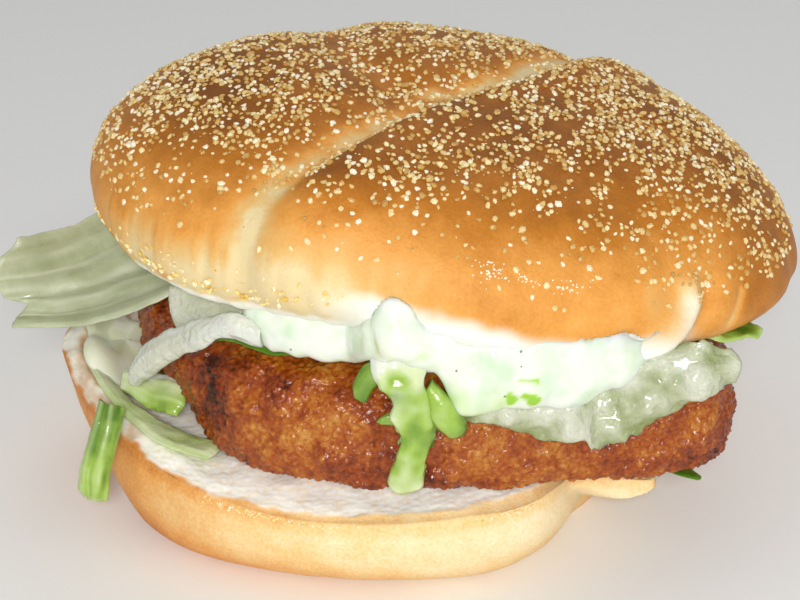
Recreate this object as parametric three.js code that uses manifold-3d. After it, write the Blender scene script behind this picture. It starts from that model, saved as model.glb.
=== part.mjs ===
// A fried fish sandwich on a corn-dusted roll, as a three.js scene graph.
// Millimetres, +Z up. The origin is the centre of the heel's flat base, and -Y is the front.
// From the base up: heel, a puddle of sauce and torn lettuce on its left end, breaded fish,
// more lettuce, tartar sauce and the crown with its coarse cornmeal.

import * as THREE from 'three';
import { mergeVertices } from 'three/addons/utils/BufferGeometryUtils.js';
import Module from 'manifold-3d';

const wasm = await Module();
wasm.setup();

const { lerp } = THREE.MathUtils;

// ---------------------------------------------------------------- driving dimensions

const GAP = 0.3; // air kept between pieces that touch
const DEGREE = Math.PI / 180;
const GOLDEN_ANGLE = 137.508 * DEGREE;

// Facets round each of the large pieces.
const SIDES = { heel: 56, fish: 68, crown: 70, sauce: 56, puddle: 18 };

const HEEL = {
  baseRadius: 42.4, // flat spot it rests on
  sideRadius: 51.6, // widest part of the wall
  wallRoundness: 3.2,
  rimHeight: 16, // where the crust ends and the torn crumb starts
  rimTuck: 1.2, // how far the crust's edge is drawn in
  crumbRise: 1.1, // torn crumb above the crust's edge
  crumbRelief: 0.3,
  bedHeight: 17.4, // flat middle that carries the fish
  slope: 10.5, // width of the slope from the rim down to the bed
  curl: { amount: 6.4, at: 178, width: 24 }, // the left end is curled out
  lip: { amount: 15.5, at: -36.5, width: 6 }, // a torn lip sticks out under the fish's corner
};

// Uneven places round the heel: an amount in mm at an angle in degrees, fading over a width.
const HEEL_RIM = [
  { amount: 7, at: 176, width: 34 }, // the left end is curled up
  { amount: -1.1, at: -40, width: 12 },
  { amount: -1.5, at: -92, width: 36 },
];
const HEEL_SIDE = [
  { amount: 1.1, at: -62, width: 9.5 },
  { amount: -8.5, at: -30, width: 17 },
  { amount: -1.5, at: 20, width: 40 },
];
const HEEL_FOOT = [
  { amount: -2.5, at: -42, width: 20 },
  { amount: 2.7, at: -66, width: 14 },
  { amount: 4.5, at: -140, width: 24 },
];

const CROWN = {
  x: 12.2,
  y: 3,
  z: 50, // height of the widest plane at its centre
  halfWidth: 62,
  halfDepth: 54,
  height: 24.7,
  fall: 0.105, // the crown leans down to the right by this slope
  droop: 2.6, // and its right end hangs lower still
  cutZ: 42.3, // flat cut face underneath
  cutFall: 0.065,
  cutShare: 0.86, // the cut face's share of the widest outline
  hubX: -3, // where the creases meet, from the centre
  hubY: -9,
  hubSink: 3.6,
  hubRadius: 8,
};

// The crown's rim is held up by the sauce left of the front, and hangs lower right of it.
const CROWN_LIFT = [
  { amount: 3.6, at: -108, width: 20 },
  { amount: -1.2, at: -62, width: 20 },
];

// A crease runs out from the hub, and its heading turns from one angle to another over turnLength.
// It is left wide on its counterclockwise side and right wide on the other. It deepens from
// fadeIn on, and the lobe on its narrower side rolls over it in a ridge.
const CREASES = [
  { from: -110, to: -130, turnLength: 13.5, depth: 3.2, ridge: 0.8, left: 3.4, right: 9, fadeIn: 6 },
  { from: -7, to: 54, turnLength: 17, depth: 3, ridge: 1.3, left: 7.5, right: 3, fadeIn: 6 },
  { from: 170, to: 107, turnLength: 22, depth: 2.4, ridge: 0.5, left: 5, right: 4, fadeIn: 5 },
  { from: 20, to: -6, turnLength: 18, depth: 0.9, ridge: 0.2, left: 4, right: 5, fadeIn: 24 },
  { from: -60, to: -34, turnLength: 30, depth: 1.6, ridge: 0.3, left: 5, right: 3, fadeIn: 40 },
];

// The largest grains of coarse cornmeal, spread on a golden-angle spiral.
const GRAIN = { places: 92, reach: 0.96, radius: 0.95, lift: 0.14 };

const FISH = {
  bottom: 18,
  top: 37.2,
  centre: [10, -4],
  crag: 0.7, // crumb relief on the sides
  undercut: { amount: 5, at: -165, width: 15 }, // the left end's lower edge is broken back
  // plan outline at its widest, counterclockwise from the front left corner
  outline: [
    [-30.5, -29.5], [-21, -39.5], [-8, -44.5], [6, -46.5], [21, -46], [36, -43.5], [48, -42],
    [56, -38], [60, -28], [60, -4], [58, 16], [51, 31], [38, 36.5], [16, 37.5], [-8, 36],
    [-28, 32], [-40, 20], [-43, 2], [-39.5, -14],
  ],
  // inset from the outline and height, from the underside to the top
  profile: [
    [14, 18], [3.4, 18], [1, 18.8], [0.2, 21], [0, 24.5], [0.3, 28.5], [1.3, 32], [3.6, 35],
    [8, 36.9], [14, 37.2],
  ],
};

// The sauce's edge along the front: a place in x, how far it stands out past the fish's outline
// there, and the height of its lip. Between x 0 and 9 it bulges over the hanging lettuce.
const SAUCE_FRONT = [
  { x: -30, out: -9, lip: 38 },
  { x: -22, out: -3.5, lip: 39.5 },
  { x: -12, out: -2.6, lip: 39.6 },
  { x: -5, out: -2, lip: 39.2 },
  { x: 0, out: 3, lip: 43 },
  { x: 4, out: 5, lip: 44.6 },
  { x: 9, out: 4, lip: 41 },
  { x: 14, out: 4.6, lip: 34 },
  { x: 22, out: 4.5, lip: 35 },
  { x: 30, out: 4.5, lip: 34 },
  { x: 38, out: 3.6, lip: 36.5 },
  { x: 44, out: 1, lip: 38.6 },
  { x: 52, out: -7, lip: 38.4 },
];
const SAUCE = {
  endOut: -8.5, // at both ends it stays in on top of the fish
  backOut: -2.5, // at the back it comes nearly to the edge
  lip: 38.3,
  bulge: 12, // height of the bulge above the lip
  body: 24, // how far in its lip's profile starts
};

const PUDDLE = { x: -45.5, y: 0, halfWidth: 7.5, halfDepth: 13, height: 3.8 };

// Each lettuce piece lies between two edges, given from its hidden root to its tip. bow pushes
// its middle along lift, and ripples waves of one height cross it. tip rounds its end, or fringe
// gives the torn end's reach from the near edge to the far one. grid is its facets along and
// across, and clears names the neighbours it is cut back from.
const LEAVES = [
  {
    name: 'lettuce_leaf_left',
    finish: 'paleLeaf',
    near: [[-33, -10, 38.5], [-43, -12, 34], [-52.5, -10.5, 31], [-62.2, -9, 30]],
    far: [[-36, 12, 43.5], [-46, 14, 44.5], [-55, 6, 43.2], [-62.5, -1, 44]],
    thickness: 1.1, bow: -2.5, lift: [0, -0.4, 0.9], ripples: 4, height: 0.55,
    fringe: [2, 1.5, -0.5, 4, 6.5, 5, 1], grid: [7, 14],
    clears: ['crown', 'fish', 'heel', 'sauce_left'],
  },
  {
    name: 'lettuce_fold_left',
    finish: 'clearLeaf',
    near: [[-20, -33, 42.5], [-27, -30, 41.5], [-33, -25, 36.5]],
    far: [[-19, -27, 44.5], [-27, -24, 45], [-35, -21, 43.5]],
    thickness: 0.8, bow: 1, lift: [0, -1, 0.3], ripples: 1, height: 0.3, tip: 1, grid: [6, 3],
    clears: ['crown', 'fish'],
  },
  {
    name: 'lettuce_curl',
    finish: 'clearLeaf',
    near: [
      [-18, -37, 40], [-23.4, -35, 41], [-28.5, -32.5, 37.5], [-34, -28, 33],
      [-38, -24.5, 28.5], [-40.6, -23, 25.5],
    ],
    far: [
      [-18, -36, 44], [-23, -34, 45], [-28, -31, 42.6], [-33, -27, 39],
      [-38.5, -23.5, 34], [-42, -21.5, 28.5],
    ],
    thickness: 1.2, bow: 1.6, lift: [-0.3, -1, 0.2], ripples: 0.5, height: 0.4, tip: 1.6,
    grid: [12, 4], clears: ['crown', 'fish', 'lettuce_fold_left'],
  },
  {
    name: 'lettuce_cup_left',
    finish: 'clearLeaf',
    near: [
      [-51, -10, 22], [-47.5, -18, 20.5], [-42, -26, 19], [-36.5, -31.8, 18.4],
      [-28, -35.5, 18.2],
    ],
    far: [
      [-49.4, -9, 21.3], [-45.3, -15.8, 20.6], [-39, -22.6, 19.3], [-32, -27.2, 18.7],
      [-25.5, -31, 18.4],
    ],
    thickness: 1.5, bow: -0.4, lift: [0, 0, 1], ripples: 0.5, height: 0.2, tip: 0.5,
    grid: [12, 3], onHeel: true, clears: ['fish', 'heel', 'sauce_left'],
  },
  {
    name: 'lettuce_green_left',
    finish: 'greenLeaf',
    near: [[-44, -17.5, 22.3], [-41, -21, 21.6], [-37, -24.5, 21.3], [-33.5, -25.5, 21]],
    far: [[-44, -15, 23.5], [-40.5, -14.5, 24.5], [-36.5, -16.5, 25], [-33, -20, 24]],
    thickness: 1.1, bow: 1.2, lift: [0.2, -0.5, 0.8], ripples: 1.5, height: 0.5, tip: 1.2,
    grid: [9, 4], clears: ['fish', 'heel', 'lettuce_cup_left', 'lettuce_curl'],
  },
  {
    name: 'lettuce_stem_left',
    finish: 'greenLeaf',
    near: [[-46.8, -25.5, 24.6], [-47.6, -28.4, 21.5], [-49.8, -30.6, 15], [-50.6, -31.2, 10.3]],
    far: [[-42.4, -27.5, 24], [-43, -30.4, 21], [-44.8, -32.6, 14.5], [-45.4, -33.2, 9]],
    thickness: 2, bow: 1, lift: [-0.5, -0.8, 0], ripples: 0, height: 0, tip: 0.6, grid: [8, 4],
    clears: ['heel', 'lettuce_cup_left', 'lettuce_green_left'],
  },
  {
    name: 'lettuce_under_sauce',
    finish: 'greenLeaf',
    near: [[-27, -30.5, 38], [-21, -33.8, 38.4], [-15, -36.5, 38.3], [-8, -38.5, 38.2]],
    far: [[-24, -26, 38.6], [-18, -28.5, 38.8], [-12, -31, 38.7], [-7, -33.5, 38.5]],
    thickness: 0.7, bow: 0.5, lift: [0, 0, 1], ripples: 1.5, height: 0.4, tip: 1, grid: [9, 3],
    clears: ['fish', 'crown', 'lettuce_curl'],
  },
  {
    name: 'lettuce_center',
    finish: 'greenLeaf',
    near: [
      [-0.4, -49, 45.4], [-0.2, -50.4, 42], [2.2, -51.2, 36.5], [3.4, -51.2, 31],
      [2.2, -50.4, 25], [2.4, -50, 21.2],
    ],
    far: [
      [7.8, -48.6, 45.2], [8.6, -49.8, 41], [9.6, -50.6, 36], [9.6, -50.6, 31],
      [8.4, -50, 26], [7.2, -49.6, 21.8],
    ],
    thickness: 2, bow: 1.3, lift: [0, -1, 0.1], ripples: 0, height: 0, tip: 1.2, grid: [12, 5],
    clears: ['crown', 'fish'],
  },
  {
    name: 'lettuce_lobe_left',
    finish: 'greenLeaf',
    near: [[1, -47.6, 43.4], [-1.8, -48, 42.2], [-3.4, -48.2, 39.4], [-2.6, -48.2, 36.8]],
    far: [[2.4, -47.4, 40.6], [1.2, -47.8, 39], [-0.4, -48.2, 37.4], [-1.4, -48.2, 36.3]],
    thickness: 1, bow: 0.8, lift: [0, -1, 0], ripples: 0, height: 0, tip: 0.5, grid: [6, 3],
    clears: ['fish', 'lettuce_center'],
  },
  {
    name: 'lettuce_lobe_right',
    finish: 'greenLeaf',
    near: [[7.8, -48.4, 37.4], [8.8, -49.2, 34.6], [10.6, -49.8, 32], [12.4, -49.8, 30.6]],
    far: [[9, -48.4, 40.4], [11.2, -49.4, 37.6], [13.4, -50, 34.6], [14.6, -49.8, 32]],
    thickness: 1.2, bow: 0.9, lift: [0, -1, 0.2], ripples: 0, height: 0, tip: 0.7, grid: [6, 3],
    clears: ['fish', 'lettuce_center'],
  },
  {
    name: 'lettuce_point_center',
    finish: 'greenLeaf',
    near: [[4.6, -48, 31.6], [2.4, -48.4, 31.8], [0.4, -48.6, 32.4]],
    far: [[4.6, -48, 35], [2.4, -48.4, 34.2], [0.6, -48.6, 33.2]],
    thickness: 0.8, bow: 0.3, lift: [0, -1, 0], ripples: 0, height: 0, tip: 0.4, grid: [5, 3],
    clears: ['fish', 'lettuce_center'],
  },
  {
    name: 'lettuce_sheet_right',
    finish: 'clearLeaf',
    near: [
      [12, -47.8, 32.8], [22, -48.8, 31], [26.5, -48.6, 29.2], [32, -48.2, 28.6],
      [35.5, -47.8, 26.8], [41, -46.6, 28.4], [47, -46, 32.2], [52, -45.4, 34.6],
      [58.2, -42, 36.6],
    ],
    far: [
      [12, -43.5, 39.4], [22, -43.6, 39.6], [26.5, -43.2, 39.6], [32, -42.6, 39.4],
      [35.5, -42.2, 39.4], [41, -42.6, 41], [47, -43, 42.4], [51.5, -43, 42],
      [57.2, -41.5, 39.6],
    ],
    thickness: 0.9, bow: 1.3, lift: [0, -0.8, 0.5], ripples: 3.5, height: 0.8, tip: 1.2,
    grid: [20, 4], clears: ['crown', 'fish', 'lettuce_lobe_right'],
  },
  {
    name: 'lettuce_frill_right',
    finish: 'greenLeaf',
    near: [[53.2, -31, 38.2], [56, -31.5, 38.4], [60, -30.8, 38], [63.4, -29.5, 37.6]],
    far: [[53.2, -24, 38.4], [56, -24.5, 38.6], [60, -24, 38.4], [64, -24.5, 37.8]],
    thickness: 0.7, bow: 0.3, lift: [0, 0, 1], ripples: 1.5, height: 0.4, tip: 1, grid: [9, 3],
    clears: ['crown', 'fish', 'lettuce_sheet_right'],
  },
  {
    name: 'lettuce_tip_right',
    finish: 'greenLeaf',
    near: [[46, -35.5, 17.1], [50, -38, 17], [53.4, -39.6, 16.8]],
    far: [[47.5, -32, 17.1], [51.5, -34.5, 17], [54, -38.4, 16.9]],
    thickness: 0.6, bow: 0, lift: [0, 0, 1], ripples: 0, height: 0, tip: 0.3, grid: [5, 2],
    clears: ['fish', 'heel'],
  },
];

// Colour and surface of each kind of food.
const FINISHES = {
  heel: { color: 0xdfa45f, roughness: 0.75 },
  crown: { color: 0xc9823a, roughness: 0.5 },
  fish: { color: 0xa5531f, roughness: 0.45 },
  sauce: { color: 0xeef4e0, roughness: 0.3 },
  paleLeaf: { color: 0xc3cdb0, roughness: 0.4 },
  clearLeaf: { color: 0xd3d6bd, roughness: 0.3 },
  greenLeaf: { color: 0x9cc35c, roughness: 0.4 },
};

// ---------------------------------------------------------------- formulas

/** An angle brought to between -PI and PI. */
function wrapped(angle) {
  return Math.atan2(Math.sin(angle), Math.cos(angle));
}

/** The sum of uneven places at an angle: each is its amount at its centre, and fades over its width. */
function unevenness(angle, places) {
  let sum = 0;
  for (const { amount, at, width } of places) {
    const away = wrapped(angle - at * DEGREE) / (width * DEGREE);
    sum += amount * Math.exp(-(away ** 2));
  }
  return sum;
}

/** 0 at from, 1 at to, and a smooth step between. */
function smooth(from, to, value) {
  const t = THREE.MathUtils.clamp((value - from) / (to - from), 0, 1);
  return t * t * (3 - 2 * t);
}

/** Smooth uneven relief from -1 to 1, made of five crossed waves about one size long. */
function relief(x, y, z, size, seed) {
  let sum = 0;
  for (let k = 0; k < 5; k += 1) {
    const turn = seed + k * GOLDEN_ANGLE;
    const tip = 0.9 * Math.sin(1.7 * k + seed);
    const along = (x * Math.cos(turn) + y * Math.sin(turn)) * Math.cos(tip) + z * Math.sin(tip);
    sum += Math.sin((2 * Math.PI * along * (0.75 + 0.16 * k)) / size + 2.3 * k + 1.7 * seed);
  }
  return sum / 5;
}

/** A repeatable draw from 0 to 1 for a whole number. */
function draw(number, seed) {
  const value = Math.sin(number * 12.9898 + seed * 78.233) * 43758.5453;
  return value - Math.floor(value);
}

/** Evenly spaced angles once round. */
function anglesRound(sides) {
  return Array.from({ length: sides }, (_, i) => (2 * Math.PI * i) / sides);
}

/** A smooth curve through points given as [x, y] or [x, y, z]. */
function curveThrough(points, closed = false) {
  const vectors = points.map(([x, y, z = 0]) => new THREE.Vector3(x, y, z));
  return new THREE.CatmullRomCurve3(vectors, closed, 'catmullrom', 0.5);
}

// ---------------------------------------------------------------- making solids

/** A geometry from a closed triangle list, turned to face outward. */
function closedGeometry(positions, triangles) {
  let volume = 0;
  for (let t = 0; t < triangles.length; t += 3) {
    const [a, b, c] = [0, 1, 2].map((k) => new THREE.Vector3().fromArray(positions, 3 * triangles[t + k]));
    volume += a.dot(b.cross(c));
  }
  if (volume < 0) triangles.reverse();
  const geometry = new THREE.BufferGeometry();
  geometry.setAttribute('position', new THREE.Float32BufferAttribute(positions, 3));
  geometry.setIndex(triangles);
  return geometry;
}

/** Closes a stack of rings, each of one count or a single point, into a solid. */
function ringSolid(rings) {
  const positions = rings.flat().flatMap((point) => point.toArray());
  const triangles = [];
  let start = 0;
  for (let k = 1; k < rings.length; k += 1) {
    const lower = rings[k - 1].length;
    const upper = rings[k].length;
    const sides = Math.max(lower, upper);
    for (let i = 0; i < sides; i += 1) {
      const next = (i + 1) % sides;
      const a = start + (i % lower);
      const b = start + (next % lower);
      const c = start + lower + (next % upper);
      const d = start + lower + (i % upper);
      if (a !== b) triangles.push(a, b, c);
      if (c !== d) triangles.push(a, c, d);
    }
    start += lower;
  }
  return closedGeometry(positions, triangles);
}

/** The unit normal of surface(u, v) at one place. */
function normalAt(surface, u, v) {
  const step = 0.01;
  const alongU = surface(Math.min(u + step, 1), v).sub(surface(Math.max(u - step, 0), v));
  const alongV = surface(u, Math.min(v + step, 1)).sub(surface(u, Math.max(v - step, 0)));
  return alongU.cross(alongV).normalize();
}

/** A thin wavy solid about surface(u, v), with both faces split into triangles alike. */
function leafSolid(surface, thickness, lengths, widths) {
  const positions = [];
  for (const side of [0.5, -0.5]) {
    for (let i = 0; i <= lengths; i += 1) {
      for (let j = 0; j <= widths; j += 1) {
        const u = i / lengths;
        const v = j / widths;
        const point = surface(u, v).addScaledVector(normalAt(surface, u, v), side * thickness);
        positions.push(...point.toArray());
      }
    }
  }
  const row = widths + 1;
  const under = (lengths + 1) * row;
  const triangles = [];
  const quad = (a, b, c, d) => triangles.push(a, b, c, a, c, d);
  for (let i = 0; i < lengths; i += 1) {
    for (let j = 0; j < widths; j += 1) {
      const a = i * row + j;
      const c = a + row + 1;
      quad(a, a + row, c, a + 1);
      quad(under + a, under + a + 1, under + c, under + a + row);
    }
    const near = i * row;
    const far = near + widths;
    quad(near, under + near, under + near + row, near + row);
    quad(far, far + row, under + far + row, under + far);
  }
  for (let j = 0; j < widths; j += 1) {
    const tip = lengths * row + j;
    quad(j, j + 1, under + j + 1, under + j);
    quad(tip, under + tip, under + tip + 1, tip + 1);
  }
  return closedGeometry(positions, triangles);
}

/** A manifold solid of a closed geometry. */
function solidOf(geometry) {
  const bare = geometry.clone();
  bare.deleteAttribute('normal');
  bare.deleteAttribute('uv');
  const merged = mergeVertices(bare, 1e-4);
  return new wasm.Manifold(new wasm.Mesh({
    numProp: 3,
    vertProperties: new Float32Array(merged.attributes.position.array),
    triVerts: new Uint32Array(merged.index.array),
  }));
}

/** The geometry of a manifold solid's largest body, simplified within a tolerance. */
function geometryOf(solid, tolerance) {
  const bodies = solid.simplify(tolerance).decompose().sort((a, b) => b.volume() - a.volume());
  const mesh = bodies[0].getMesh();
  const geometry = new THREE.BufferGeometry();
  geometry.setAttribute('position', new THREE.Float32BufferAttribute(mesh.vertProperties, 3));
  geometry.setIndex([...mesh.triVerts]);
  return geometry;
}

/** A closed geometry with every vertex moved outward by a distance. */
function grown(geometry, distance) {
  const bigger = geometry.clone();
  bigger.computeVertexNormals();
  const { position, normal } = bigger.attributes;
  for (let i = 0; i < position.count; i += 1) {
    const out = new THREE.Vector3().fromBufferAttribute(normal, i).multiplyScalar(distance);
    const point = new THREE.Vector3().fromBufferAttribute(position, i).add(out);
    position.setXYZ(i, point.x, point.y, point.z);
  }
  return bigger;
}

/** A geometry cut back so that it keeps the gap from its neighbours. */
function clearOf(geometry, neighbours, tolerance = 0.03) {
  let solid = solidOf(geometry);
  for (const neighbour of neighbours) solid = solid.subtract(solidOf(grown(neighbour, GAP)));
  return geometryOf(solid, tolerance);
}

// ---------------------------------------------------------------- heel

/** Height of the crust's edge round the heel. */
function heelRimHeight(angle) {
  return HEEL.rimHeight + unevenness(angle, HEEL_RIM);
}

/** Radius of the heel's wall without its curled end and its lip. */
function heelPlainRadius(angle) {
  return HEEL.sideRadius + unevenness(angle, HEEL_SIDE);
}

/** Radius of the crust's edge. */
function heelRimRadius(angle) {
  return heelPlainRadius(angle) + unevenness(angle, [HEEL.curl, HEEL.lip]) - HEEL.rimTuck;
}

/** Height of the heel's torn upper face. */
function heelTop(x, y) {
  const angle = Math.atan2(y, x);
  const inward = heelRimRadius(angle) - Math.hypot(x, y);
  const rise = heelRimHeight(angle) + HEEL.crumbRise - HEEL.bedHeight;
  const torn = HEEL.crumbRelief * relief(x, y, 0, 6, 3) * smooth(9, 5, inward) * smooth(0, 1.5, inward);
  return HEEL.bedHeight + rise * smooth(HEEL.slope, 2, inward) + torn;
}

/** Radius and height on the heel's wall, from the base's edge at 0 to the crust's edge at 1. */
function heelWall(angle, t) {
  const curl = unevenness(angle, [HEEL.curl]) * t ** 2;
  const lip = unevenness(angle, [HEEL.lip]) * smooth(0.66, 0.86, t);
  const foot = HEEL.baseRadius + unevenness(angle, HEEL_FOOT);
  const roundness = HEEL.wallRoundness - unevenness(angle, [{ amount: 1.4, at: 180, width: 24 }]);
  const bulge = 1 - (1 - t) ** roundness;
  const radius = lerp(foot, heelPlainRadius(angle), bulge) + curl + lip - HEEL.rimTuck * t ** 6;
  return { radius, height: heelRimHeight(angle) * t ** 1.15 };
}

/** The bottom bun: a flat base, a rounded wall and a torn, slightly dished upper face. */
function heelGeometry() {
  const wallSteps = [0, 0.12, 0.28, 0.46, 0.66, 0.84, 1];
  const crumbInsets = [1.4, 3.4, 6, 10, 15, 25];
  const angles = anglesRound(SIDES.heel);
  const at = (angle, radius, z) => new THREE.Vector3(radius * Math.cos(angle), radius * Math.sin(angle), z);
  const rings = [[new THREE.Vector3()], angles.map((angle) => at(angle, HEEL.baseRadius / 2, 0))];
  for (const t of wallSteps) {
    rings.push(angles.map((angle) => {
      const { radius, height } = heelWall(angle, t);
      return at(angle, radius, height);
    }));
  }
  for (const inset of crumbInsets) {
    rings.push(angles.map((angle) => {
      const point = at(angle, heelRimRadius(angle) - inset, 0);
      return point.setZ(heelTop(point.x, point.y));
    }));
  }
  rings.push([new THREE.Vector3(0, 0, HEEL.bedHeight)]);
  return ringSolid(rings);
}

// ---------------------------------------------------------------- crown

/** Share of the way from the crown's centre to its outline, 1 on the outline. */
function crownShare(x, y) {
  return Math.hypot((x - CROWN.x) / CROWN.halfWidth, (y - CROWN.y) / CROWN.halfDepth);
}

/** How far the crown's rim is pushed up or hangs down. */
function crownLift(x, y) {
  const angle = Math.atan2((y - CROWN.y) / CROWN.halfDepth, (x - CROWN.x) / CROWN.halfWidth);
  const droop = CROWN.droop * smooth(28, 60, x - CROWN.x);
  return (unevenness(angle, CROWN_LIFT) - droop) * smooth(0.55, 1, crownShare(x, y));
}

/** Height of the crown's widest plane, which leans down to the right. */
function crownRimZ(x, y) {
  return CROWN.z - CROWN.fall * (x - CROWN.x) + crownLift(x, y);
}

/** Height of the crown's cut face. */
function crownCutZ(x, y) {
  return CROWN.cutZ - CROWN.cutFall * (x - CROWN.x) + crownLift(x, y);
}

/** Depth of one crease, and of the ridge beside it, seen from the hub. */
function creaseAt(crease, reach, angle) {
  const heading = lerp(crease.to, crease.from, Math.exp(-reach / crease.turnLength)) * DEGREE;
  const turn = wrapped(angle - heading);
  const aside = turn * reach;
  const width = aside > 0 ? crease.left : crease.right;
  const narrow = Math.min(crease.left, crease.right);
  const lobe = aside * Math.sign(crease.right - crease.left);
  const trough = Math.exp(-((aside / width) ** 2));
  const roll = Math.exp(-(((lobe - 2.4 * narrow) / (1.6 * narrow)) ** 2));
  const fade = smooth(0.3 * crease.fadeIn, 1.6 * crease.fadeIn, reach) * Math.cos(turn / 2) ** 4;
  return fade * (crease.depth * trough - crease.ridge * roll);
}

/** Depth of the hub and all the creases below the plain dome. */
function creaseDepth(x, y) {
  const dx = x - CROWN.x - CROWN.hubX;
  const dy = y - CROWN.y - CROWN.hubY;
  const reach = Math.hypot(dx, dy);
  const angle = Math.atan2(dy, dx);
  const hub = CROWN.hubSink * Math.exp(-((reach / CROWN.hubRadius) ** 2));
  return CREASES.reduce((depth, crease) => depth + creaseAt(crease, reach, angle), hub);
}

/** A point on the crown's upper side, at a share of the way from the hub to the outline. */
function crownTopPoint(angle, share) {
  const rimX = CROWN.x + CROWN.halfWidth * Math.cos(angle);
  const rimY = CROWN.y + CROWN.halfDepth * Math.sin(angle);
  const x = lerp(CROWN.x + CROWN.hubX, rimX, share);
  const y = lerp(CROWN.y + CROWN.hubY, rimY, share);
  const out = Math.min(crownShare(x, y), 1);
  const dome = CROWN.height * (1 - out ** 2.4) ** (1 / 1.9);
  const crease = creaseDepth(x, y);
  const rimward = smooth(0.8, 1, out); // near the rim a crease cuts inward, not down
  const pull = (0.7 * crease * rimward) / Math.hypot(x - CROWN.x, y - CROWN.y);
  return new THREE.Vector3(
    x - (x - CROWN.x) * pull,
    y - (y - CROWN.y) * pull,
    crownRimZ(x, y) + dome - crease * (1 - rimward),
  );
}

/** A point under the crown's rim, from the outline at 0 to the edge of the cut face at 1. */
function crownUnderPoint(angle, turn) {
  const rim = crownTopPoint(angle, 1);
  const share = CROWN.cutShare + (1 - CROWN.cutShare) * Math.cos((turn * Math.PI) / 2);
  const x = CROWN.x + (rim.x - CROWN.x) * share;
  const y = CROWN.y + (rim.y - CROWN.y) * share;
  const sink = Math.sin((turn * Math.PI) / 2);
  return new THREE.Vector3(x, y, lerp(crownRimZ(x, y), crownCutZ(x, y), sink));
}

/** Height of the crown's underside above a point of the plan. */
function crownUnderZ(x, y) {
  const share = THREE.MathUtils.clamp(crownShare(x, y), CROWN.cutShare, 1);
  const sink = Math.sqrt(1 - ((share - CROWN.cutShare) / (1 - CROWN.cutShare)) ** 2);
  return lerp(crownRimZ(x, y), crownCutZ(x, y), sink);
}

/** The top bun without its cornmeal. */
function crownGeometry() {
  const topShares = [0.06, 0.14, 0.23, 0.33, 0.43, 0.53, 0.63, 0.72, 0.8, 0.87, 0.93, 0.975, 1];
  const underTurns = [0.35, 0.7, 1];
  const angles = anglesRound(SIDES.crown);
  const rings = [[crownTopPoint(0, 0)]];
  for (const share of topShares) rings.push(angles.map((angle) => crownTopPoint(angle, share)));
  for (const turn of underTurns) rings.push(angles.map((angle) => crownUnderPoint(angle, turn)));
  rings.push(angles.map((angle) => {
    const edge = crownUnderPoint(angle, 1);
    const x = (CROWN.x + edge.x) / 2;
    const y = (CROWN.y + edge.y) / 2;
    return new THREE.Vector3(x, y, crownCutZ(x, y));
  }));
  rings.push([new THREE.Vector3(CROWN.x, CROWN.y, CROWN.cutZ)]);
  return ringSolid(rings);
}

/** How thickly the cornmeal lies, from 0 to 1: thick on the back and top, thin low at the front. */
function grainDensity(x, y) {
  return 0.12 + 0.88 * smooth(-34, -12, y - CROWN.y + 0.12 * (x - CROWN.x));
}

/** One grain: an uneven faceted lump sunk into the crust where it lies. */
function grainGeometry(number, angle, share) {
  const point = crownTopPoint(angle, share);
  const inward = crownTopPoint(angle, share - 0.02).sub(point);
  const aside = crownTopPoint(angle + 0.02, share).sub(point);
  const normal = aside.cross(inward).normalize();
  const radius = GRAIN.radius * (0.8 + 0.4 * draw(number, 2));
  const grain = new THREE.IcosahedronGeometry(radius, 0);
  grain.scale(1, 0.8 + 0.3 * draw(number, 3), 0.85);
  grain.rotateZ(6 * draw(number, 4));
  grain.rotateX(2 * draw(number, 5));
  const centre = point.addScaledVector(normal, Math.sign(normal.z) * GRAIN.lift * radius);
  return grain.translate(centre.x, centre.y, centre.z);
}

/** The top bun with its largest grains of cornmeal fused on. */
function dustedCrown(plain) {
  let solid = solidOf(plain);
  for (let number = 1; number < GRAIN.places; number += 1) {
    const share = GRAIN.reach * Math.sqrt(number / GRAIN.places);
    const angle = number * GOLDEN_ANGLE;
    const { x, y } = crownTopPoint(angle, share);
    if (draw(number, 1) > grainDensity(x, y)) continue;
    solid = solid.add(solidOf(grainGeometry(number, angle, share)));
  }
  return geometryOf(solid, 0.03);
}

// ---------------------------------------------------------------- fish

const fishOutline = curveThrough(FISH.outline, true);

/** A point at an inset from the fish's outline, where u goes once round it. */
function fishPoint(u, inset, z) {
  const point = fishOutline.getPoint(u);
  const tangent = fishOutline.getTangent(u);
  return new THREE.Vector3(point.x - tangent.y * inset, point.y + tangent.x * inset, z);
}

/** The breaded fish: a rounded block with craggy sides and a broken lower edge at its left end. */
function fishGeometry() {
  const [centreX, centreY] = FISH.centre;
  const rings = [[new THREE.Vector3(centreX, centreY, FISH.bottom)]];
  for (const [inset, z] of FISH.profile) {
    const edge = smooth(16, 8, inset);
    rings.push(Array.from({ length: SIDES.fish }, (_, i) => {
      const u = i / SIDES.fish;
      const flat = fishPoint(u, inset, z);
      const angle = Math.atan2(flat.y - centreY, flat.x - centreX);
      const undercut = smooth(30, FISH.bottom, z) * unevenness(angle, [FISH.undercut]);
      const crag = FISH.crag * edge * relief(flat.x, flat.y, z, 7, 1);
      const lump = 0.4 * edge * smooth(18.5, 20, z) * relief(flat.x, flat.y, z, 5, 2);
      return fishPoint(u, inset + undercut + crag, z + lump);
    }));
  }
  rings.push([new THREE.Vector3(centreX, centreY, FISH.top)]);
  return ringSolid(rings);
}

/** How far the fish's upper edge stands in from its outline at a height. */
function fishInset(z) {
  const upper = FISH.profile.slice(4);
  const next = Math.max(upper.findIndex((row) => row[1] >= z), 1);
  const [[lowInset, lowZ], [highInset, highZ]] = [upper[next - 1], upper[next]];
  return lerp(lowInset, highInset, THREE.MathUtils.clamp((z - lowZ) / (highZ - lowZ), 0, 1));
}

// ---------------------------------------------------------------- tartar sauce

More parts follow.
